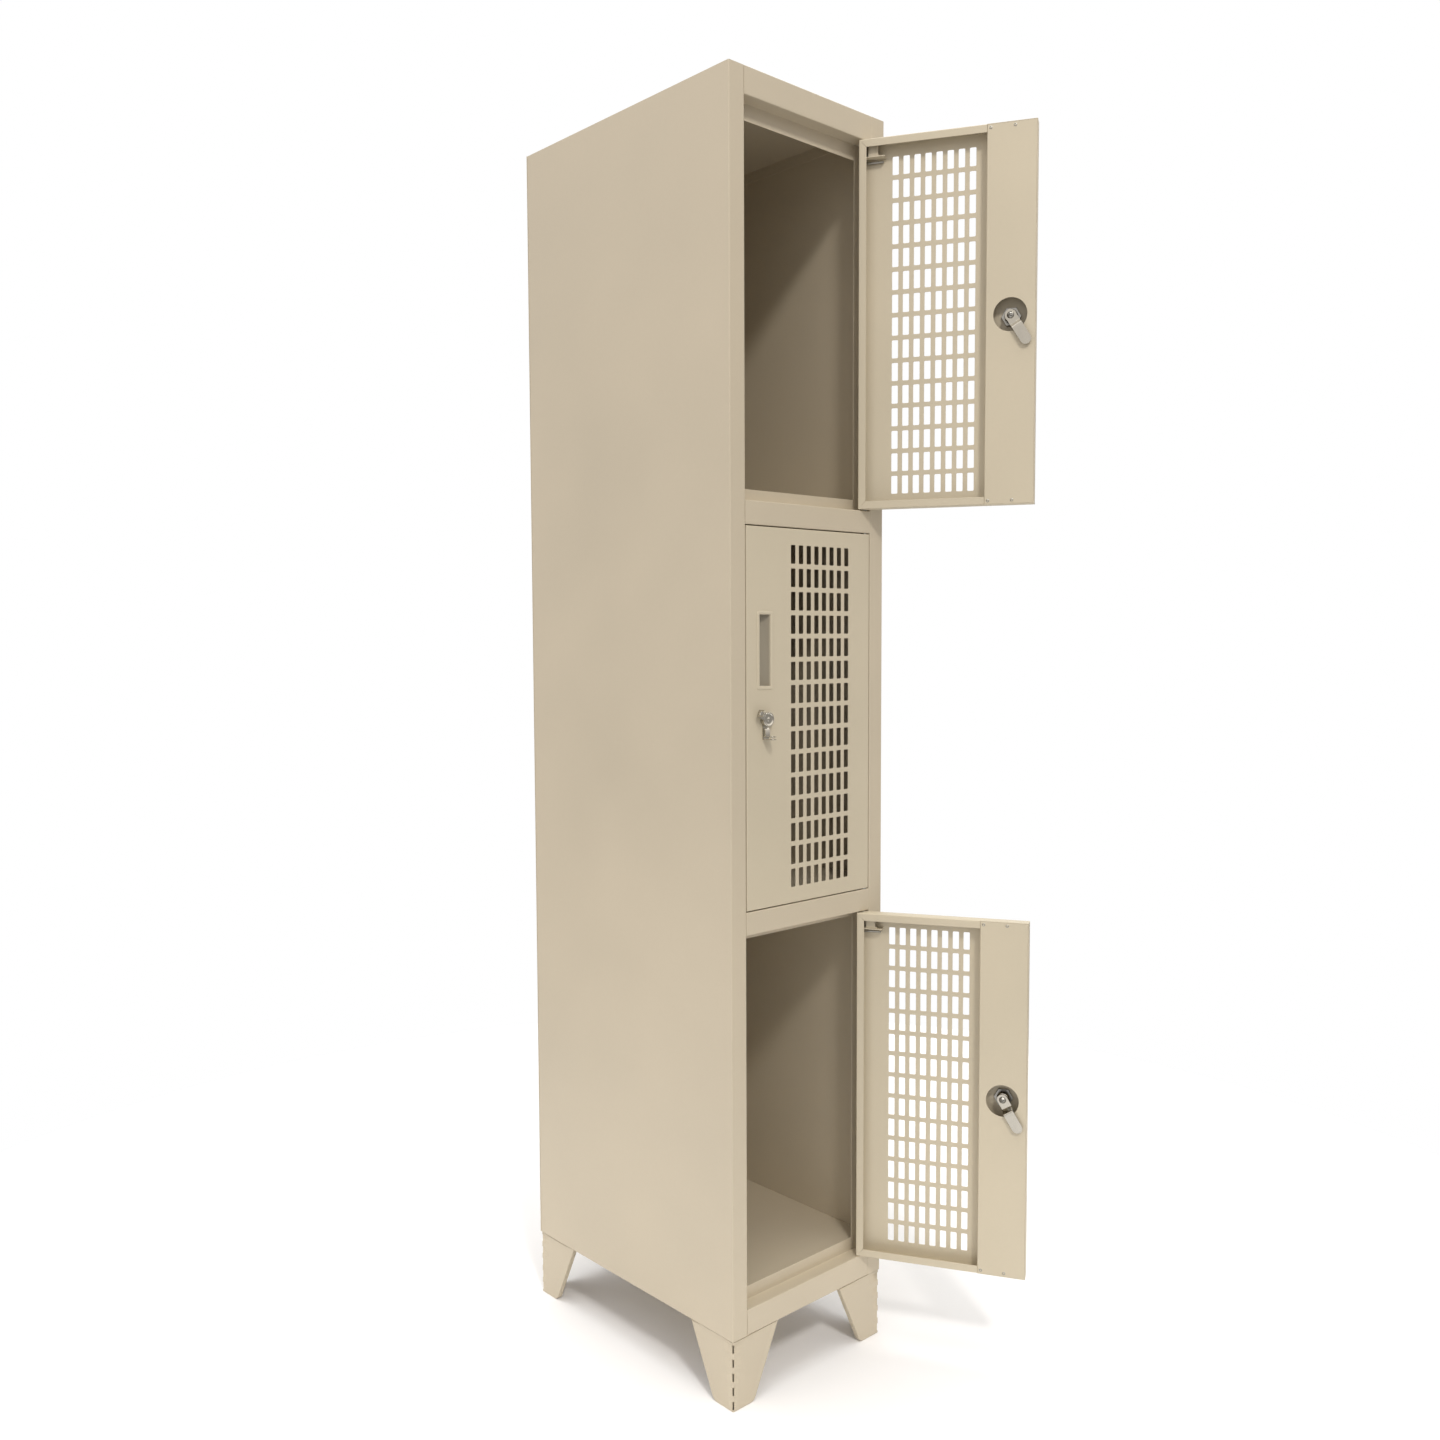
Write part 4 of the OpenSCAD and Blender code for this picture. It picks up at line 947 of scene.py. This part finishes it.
def powder_coat(slot, code):
    """Baked powder coat on steel: the eye sees a soft satin sheen, a fine orange peel and a tone that
    drifts slightly over a panel."""
    tree, place = new_finish(slot)
    # slow drift of tone, about 0.3 m across, and a faint speckle of about 4 mm
    drift, speck = (add(tree, "ShaderNodeTexNoise", [("Vector", place)], Scale=scale, Detail=2.0,
                        Roughness=rough).outputs["Fac"] for scale, rough in ((3.2, 0.5), (240.0, 0.6)))
    tone = add(tree, "ShaderNodeMath", [(0, speck), (1, 0.16), (2, drift)], operation="MULTIPLY_ADD")
    span = add(tree, "ShaderNodeMapRange", [("Value", tone.outputs[0])], From_Min=0.3, From_Max=0.85)
    coat = add(tree, "ShaderNodeMix", [(FACTOR, span.outputs["Result"]),
                                       (COLOUR_A, linear(shade(code, 0.972))),
                                       (COLOUR_B, linear(shade(code, 1.02)))], data_type="RGBA")
    # painted shade: deep in a recess the coat is darker, standing in for the shade there; pieces without the
    # attribute read nought
    handled = add(tree, "ShaderNodeAttribute", attribute_name="handled").outputs["Fac"]
    shade_weight = add(tree, "ShaderNodeMath", [(0, handled), (1, 0.85)], operation="MULTIPLY").outputs[0]
    shaded_coat = add(tree, "ShaderNodeMix", [(FACTOR, shade_weight), (COLOUR_A, coat.outputs[COLOUR]),
                                       (COLOUR_B, linear(shade(code, 0.70)))], data_type="RGBA")
    gloss = add(tree, "ShaderNodeMapRange", [("Value", drift)], From_Min=0.3, From_Max=0.7,
                To_Min=0.40, To_Max=0.50)
    # orange peel: ripples one peel length apart, drawn a little coarser than real so that they show
    peel = add(tree, "ShaderNodeTexNoise", [("Vector", place)], Detail=1.5, Roughness=0.45,
               Scale=1.0 / bpy.context.scene.locker_finish.peel)
    bump = add(tree, "ShaderNodeBump", [("Height", peel.outputs["Fac"])], Strength=0.10, Distance=0.0004)
    close_finish(tree, [("Base Color", shaded_coat.outputs[COLOUR]), ("Roughness", gloss.outputs["Result"]),
                        ("Normal", bump.outputs["Normal"])], IOR=1.5)


def metal_finish(slot, code, dark, rough, grain):
    """Plated steel: chrome gives sharp bright and dark reflections, and zinc a duller, faintly mottled
    grey."""
    tree, place = new_finish(slot)
    cloud = add(tree, "ShaderNodeTexNoise", [("Vector", place)], Scale=grain, Detail=4.0,
                Roughness=0.6).outputs["Fac"]
    plate = add(tree, "ShaderNodeMix", [(FACTOR, cloud), (COLOUR_A, linear(shade(code, dark))),
                                        (COLOUR_B, linear(code))], data_type="RGBA").outputs[COLOUR]
    gloss = add(tree, "ShaderNodeMapRange", [("Value", cloud)], From_Min=0.3, From_Max=0.7,
                To_Min=rough * 0.8, To_Max=rough * 1.3)
    fine = add(tree, "ShaderNodeTexNoise", [("Vector", place)], Scale=grain * 4, Detail=2.0)
    bump = add(tree, "ShaderNodeBump", [("Height", fine.outputs["Fac"])], Strength=0.05, Distance=0.0002)
    close_finish(tree, [("Base Color", plate), ("Roughness", gloss.outputs["Result"]),
                        ("Normal", bump.outputs["Normal"])], Metallic=1.0)


def floor_finish(slot, code):
    """Matt painted board for the studio floor: plain, pale and without a sheen."""
    tree, place = new_finish(slot)
    cloud = add(tree, "ShaderNodeTexNoise", [("Vector", place)], Scale=1.5, Detail=2.0).outputs["Fac"]
    board = add(tree, "ShaderNodeMix", [(FACTOR, cloud), (COLOUR_A, linear(shade(code, 0.995))),
                                        (COLOUR_B, linear(code))], data_type="RGBA").outputs[COLOUR]
    close_finish(tree, [("Base Color", board)], Roughness=0.9, Specular_IOR_Level=0.1)


# ---------------------------------------------------------------- operators

class LOCKER_OT_finishes(bpy.types.Operator):
    """Make the finishes and put them on every CAD node"""
    bl_idname = "locker.finishes"
    bl_label = "Finishes"

    def execute(self, context):
        finish = context.scene.locker_finish
        powder_coat("body_paint", finish.body_coat)
        powder_coat("door_paint", finish.door_coat)
        metal_finish("chrome", finish.plating, 0.85, 0.13, 60.0)
        metal_finish("zinc", finish.zinc, 0.8, 0.34, 160.0)
        floor_finish("floor", finish.floor)
        for part in frame["record"]["subparts"]:
            node = frame["nodes"][part["node"]]
            node.data.materials.clear()
            node.data.materials.append(bpy.data.materials[FINISHES[part["material_slot"]]])
        return {"FINISHED"}


class LOCKER_OT_side_panels(bpy.types.Operator):
    """Build both side panels with their stiles"""
    bl_idname = "locker.side_panels"
    bl_label = "Side panels"

    def execute(self, context):
        right = [mirrored(part) for part in side_panel(12)]
        for side, parts in (("left", side_panel(5)), ("right", right)):
            make_piece(side + "_side_sheet", parts, "cabinet", side + "_side_panel", "body_paint",
                       sheet=size("sheets", "thickness"))
        return {"FINISHED"}


class LOCKER_OT_roof(bpy.types.Operator):
    """Build the roof with its fascia"""
    bl_idname = "locker.roof"
    bl_label = "Roof and fascia"

    def execute(self, context):
        make_piece("roof_sheet", roof_sheet(), "cabinet", "top_panel", "body_paint",
                   sheet=size("sheets", "thickness"))
        return {"FINISHED"}


class LOCKER_OT_cross_members(bpy.types.Operator):
    """Build the two cross rails and the sill"""
    bl_idname = "locker.cross_members"
    bl_label = "Rails and sill"

    def execute(self, context):
        rail = size("sheets", "rail_height")
        upper, lower, bottom = (TIER_FLOOR[tier] for tier in TIERS)
        for name, node, low, high, low_lip, high_lip in (
                ("upper_rail", "upper_cross_rail", upper - rail, upper, 10, 17),
                ("lower_rail", "lower_cross_rail", lower - rail, lower, 10, 17),
                ("sill", "bottom_sill", FOOT, bottom, 0, 19)):
            make_piece(name, cross_member(low, high, low_lip, high_lip), "cabinet", node, "body_paint",
                       sheet=size("sheets", "thickness"))
        return {"FINISHED"}


class LOCKER_OT_back_and_floors(bpy.types.Operator):
    """Build the compartment floors and ease the edges of the back panel and the screws"""
    bl_idname = "locker.back_and_floors"
    bl_label = "Back and floors"

    def execute(self, context):
        for node, tier in zip(("upper_shelf", "lower_shelf", "bottom_panel"), TIERS):
            level = TIER_FLOOR[tier] + size("sheets", "shelf_rise")
            make_piece(node + "_tray", tray(level), "cabinet", node, "body_paint",
                       sheet=size("sheets", "thickness"))
        eased_copy("back_sheet", "back_panel", "body_paint", 0.2)
        eased_copy("back_screw_heads", "back_screws", "zinc", 0.15)
        eased_copy("leg_bolts", "leg_screws", "zinc", 0.3)
        return {"FINISHED"}


class LOCKER_OT_legs(bpy.types.Operator):
    """Build the four folded legs"""
    bl_idname = "locker.legs"
    bl_label = "Legs"

    def execute(self, context):
        inset = size("legs", "inset")
        for y_side, depth in ((-1, "front"), (1, "rear")):
            for x_side, side in ((-1, "left"), (1, "right")):
                def place(p):
                    x, y, z = p.T
                    return np.column_stack([x_side * (RIGHT - inset - x), y_side * (REAR - inset - y), z])
                node = f"leg_{depth}_{side}"
                make_piece(node + "_sheet", leg(), "cabinet", node, "body_paint", place,
                           size("legs", "thickness"))
        return {"FINISHED"}


class LOCKER_OT_doors(bpy.types.Operator):
    """Build the three door pans with their vents"""
    bl_idname = "locker.doors"
    bl_label = "Doors"

    def execute(self, context):
        for tier in TIERS:
            tier_piece("door_pan", tier, "door_skin", door_pan(), "door_paint",
                       sheet=size("sheets", "thickness"))
        return {"FINISHED"}


class LOCKER_OT_lock_boxes(bpy.types.Operator):
    """Build the stiffening boxes and their rivets"""
    bl_idname = "locker.lock_boxes"
    bl_label = "Lock boxes"

    def execute(self, context):
        for tier in TIERS:
            tier_piece("lock_box_sheet", tier, "lock_box", lock_box(), "door_paint",
                       sheet=size("sheets", "thickness"))
            tier_piece("box_rivet_heads", tier, "box_rivets", rivets(), "zinc")
        return {"FINISHED"}


class LOCKER_OT_pull_cups(bpy.types.Operator):
    """Build the pressed pull recesses"""
    bl_idname = "locker.pull_cups"
    bl_label = "Pull recesses"

    def execute(self, context):
        for tier in TIERS:
            # painted shade: the recess coat darkens with depth behind the door's face, fully dark at 2.5 mm,
            # standing in for the shade inside the recess
            tier_piece("pull_recess", tier, "pull_cup", pull_cup(), "door_paint", sheet=0.5, ease=0,
                       handled=lambda p: np.clip((p[:, 1] - FACE) / 2.5, 0, 1))
        return {"FINISHED"}


class LOCKER_OT_latches(bpy.types.Operator):
    """Build the latches with their cams, screws and nuts"""
    bl_idname = "locker.latches"
    bl_label = "Latches"

    def execute(self, context):
        hexagon = circle(12 / math.cos(math.radians(30)), 6)
        outer = ray_to_polygon(hexagon, np.radians(np.arange(0, 360, 7.5)))
        nut = [bored(outer, circle(size("latch", "barrel_radius") + 0.1, 48), -5.0, -1.05, 0.35)]
        for tier in TIERS:
            still, turning = latch_place(tier, False), latch_place(tier, True)
            tier_piece("latch_base", tier, "lock_body", latch_fixed(), "chrome", place=still)
            tier_piece("latch_nut", tier, "lock_nut", nut, "zinc", place=still)
            tier_piece("latch_turn", tier, "latch_knob", latch_knob(), "chrome", "latch", turning)
            tier_piece("latch_cam_plate", tier, "latch_cam", latch_cam(), "chrome", "latch", turning,
                       sheet=2.0, ease=0.35)
            tier_piece("cam_screw_head", tier, "cam_screw", cross_screw(-16.2), "zinc", "latch", turning)
        return {"FINISHED"}


class LOCKER_OT_hinges(bpy.types.Operator):
    """Build the brackets, pins and springs of the hinges"""
    bl_idname = "locker.hinges"
    bl_label = "Hinges"

    def execute(self, context):
        for tier in TIERS:
            tier_piece("pivot_plate", tier, "pivot_bracket", bracket(), "door_paint", sheet=1.5)
            tier_piece("upper_pin_rod", tier, "upper_pin", upper_pin(), "zinc", "pin")
            coil = tier_piece("pin_spring_coil", tier, "pin_spring", pin_spring(), "zinc")
            foot = door_place(tier)(np.array([[0.0, 0.0, DOOR_H + SPRING_LOW]]))[0] / 1000
            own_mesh(coil)
            tier_piece("lower_pin_stud", tier, "lower_pin", lower_pin(), "zinc")
        return {"FINISHED"}


class LOCKER_OT_stage(bpy.types.Operator):
    """Set the floor, the lights, the surroundings and the camera"""
    bl_idname = "locker.stage"
    bl_label = "Stage"

    def execute(self, context):
        scene, stage = context.scene, context.scene.locker_stage
        scene.view_settings.view_transform = "Standard"

        # floor: a disc of board round the object
        rings = np.linspace(0, stage.floor_reach * 1000, 7)
        angle = turns(96)[:, None]
        disc = xyz(np.cos(angle) * rings, np.sin(angle) * rings, 0)
        points, polygons = weld([lattice(disc, around=True)])
        mesh = bpy.data.meshes.new("studio_floor")
        mesh.from_pydata((points / 1000).tolist(), [], polygons)
        mesh.materials.append(bpy.data.materials[FINISHES["floor"]])
        floor = bpy.data.objects.new("studio_floor", mesh)
        scene.collection.objects.link(floor)

        # surroundings: white where seen directly, and as a light brightest from above on the left
        world = bpy.data.worlds.new("Studio")
        scene.world = world
        world.use_nodes = True
        tree = world.node_tree
        tree.nodes.clear()
        direction = add(tree, "ShaderNodeTexCoord").outputs["Generated"]

        def glow(axis, start, end, dim, bright, tint):
            # brightness from dim to bright as the direction's part along the axis goes from start to end
            along = add(tree, "ShaderNodeVectorMath", [(0, direction), (1, axis)], operation="DOT_PRODUCT")
            level = add(tree, "ShaderNodeMapRange", [("Value", along.outputs["Value"])], From_Min=start,
                        From_Max=end, To_Min=dim, To_Max=bright)
            strength = level.outputs["Result"]
            return add(tree, "ShaderNodeBackground", [("Strength", strength)], Color=tint).outputs[0]
        up, from_left = (0.0, 0.0, 1.0), (-0.55, 0.2, 0.65)
        soft = glow(from_left, -0.8, 0.8, stage.sky * 0.25, stage.sky * 1.15, (1.0, 0.96, 0.94, 1.0))
        # reflections see a dim band at eye level under a bright ceiling
        room = glow(up, -0.05, 0.55, stage.reflected * 0.45, stage.reflected * 1.6, (1.0, 0.96, 0.92, 1.0))
        white = add(tree, "ShaderNodeBackground", Color=(1.0, 1.0, 1.0, 1.0), Strength=1.0).outputs[0]
        paths = add(tree, "ShaderNodeLightPath").outputs
        lit = add(tree, "ShaderNodeMixShader", [(0, paths["Is Glossy Ray"]), (1, soft), (2, room)]).outputs[0]
        mix = add(tree, "ShaderNodeMixShader", [(0, paths["Is Camera Ray"]), (1, lit), (2, white)]).outputs[0]
        add(tree, "ShaderNodeOutputWorld", [("Surface", mix)])

        # key light from the front left, high up, and an even light straight down that whitens the floor
        key = bpy.data.lights.new("Key", "AREA")
        key.energy, key.size, key.shape, key.color = stage.key_power, 0.9, "DISK", (1.0, 0.96, 0.92)
        down = bpy.data.lights.new("Overhead", "SUN")
        down.energy, down.angle, down.color = stage.overhead, math.radians(40), (0.97, 1.0, 0.99)
        for lamp, place, aim in ((key, (-2.4, -4.7, 5.6), (0.0, 0.0, 0.9)),
                                 (down, (0.0, 0.0, 4.0), (0.0, 0.0, 0.0))):
            light = bpy.data.objects.new(lamp.name, lamp)
            light.location = place
            light.rotation_euler = (Vector(aim) - Vector(place)).to_track_quat("-Z", "Y").to_euler()
            scene.collection.objects.link(light)

        # camera: yaw to the right of +Y, pitch above level and a slight roll
        eye = (-1.3164, -1.4783, 1.061)
        yaw, pitch, roll = (math.radians(v) for v in (42.481, -3.675, -0.231))
        lens = bpy.data.cameras.new("Camera")
        lens.sensor_width, lens.lens, lens.clip_start, lens.clip_end = 36, stage.lens, 0.05, 100
        camera = bpy.data.objects.new("Camera", lens)
        ahead = np.array([math.sin(yaw) * math.cos(pitch), math.cos(yaw) * math.cos(pitch), math.sin(pitch)])
        right = np.array([math.cos(yaw), -math.sin(yaw), 0])
        side = math.cos(roll) * right + math.sin(roll) * np.cross(right, ahead)
        turn = Matrix(np.column_stack([side, np.cross(side, ahead), -ahead]).tolist()).to_4x4()
        camera.matrix_world = Matrix.Translation(eye) @ turn
        scene.collection.objects.link(camera)
        scene.camera = camera
        return {"FINISHED"}


class LOCKER_PT_build(bpy.types.Panel):
    """Lists the operators of the locker, and its sizes and finishes"""
    bl_idname = "LOCKER_PT_build"
    bl_label = "Steel locker"
    bl_space_type = "VIEW_3D"
    bl_region_type = "UI"
    bl_category = "Locker"

    def draw(self, context):
        column = self.layout.column(align=True)
        for operator in OPERATORS:
            column.operator(operator.bl_idname)
        for group, kind in GROUPS.items():
            area = self.layout.box()
            area.label(text=kind.__name__.replace("Locker", ""))
            for name in kind.__annotations__:
                area.prop(getattr(context.scene, group), name)


OPERATORS = (
    LOCKER_OT_finishes, LOCKER_OT_side_panels, LOCKER_OT_roof, LOCKER_OT_cross_members,
    LOCKER_OT_back_and_floors, LOCKER_OT_legs, LOCKER_OT_doors, LOCKER_OT_lock_boxes,
    LOCKER_OT_pull_cups, LOCKER_OT_latches, LOCKER_OT_hinges, LOCKER_OT_stage,
)
CLASSES = tuple(GROUPS.values()) + OPERATORS + (LOCKER_PT_build,)


def register():
    for kind in CLASSES:
        bpy.utils.register_class(kind)
    for name, kind in GROUPS.items():
        setattr(bpy.types.Scene, name, PointerProperty(type=kind))


def unregister():
    for name in GROUPS:
        delattr(bpy.types.Scene, name)
    for kind in reversed(CLASSES):
        bpy.utils.unregister_class(kind)


def main():
    register()
    for operator in OPERATORS:
        group, name = operator.bl_idname.split(".")
        getattr(getattr(bpy.ops, group), name)()


if __name__ == "__main__":
    main()
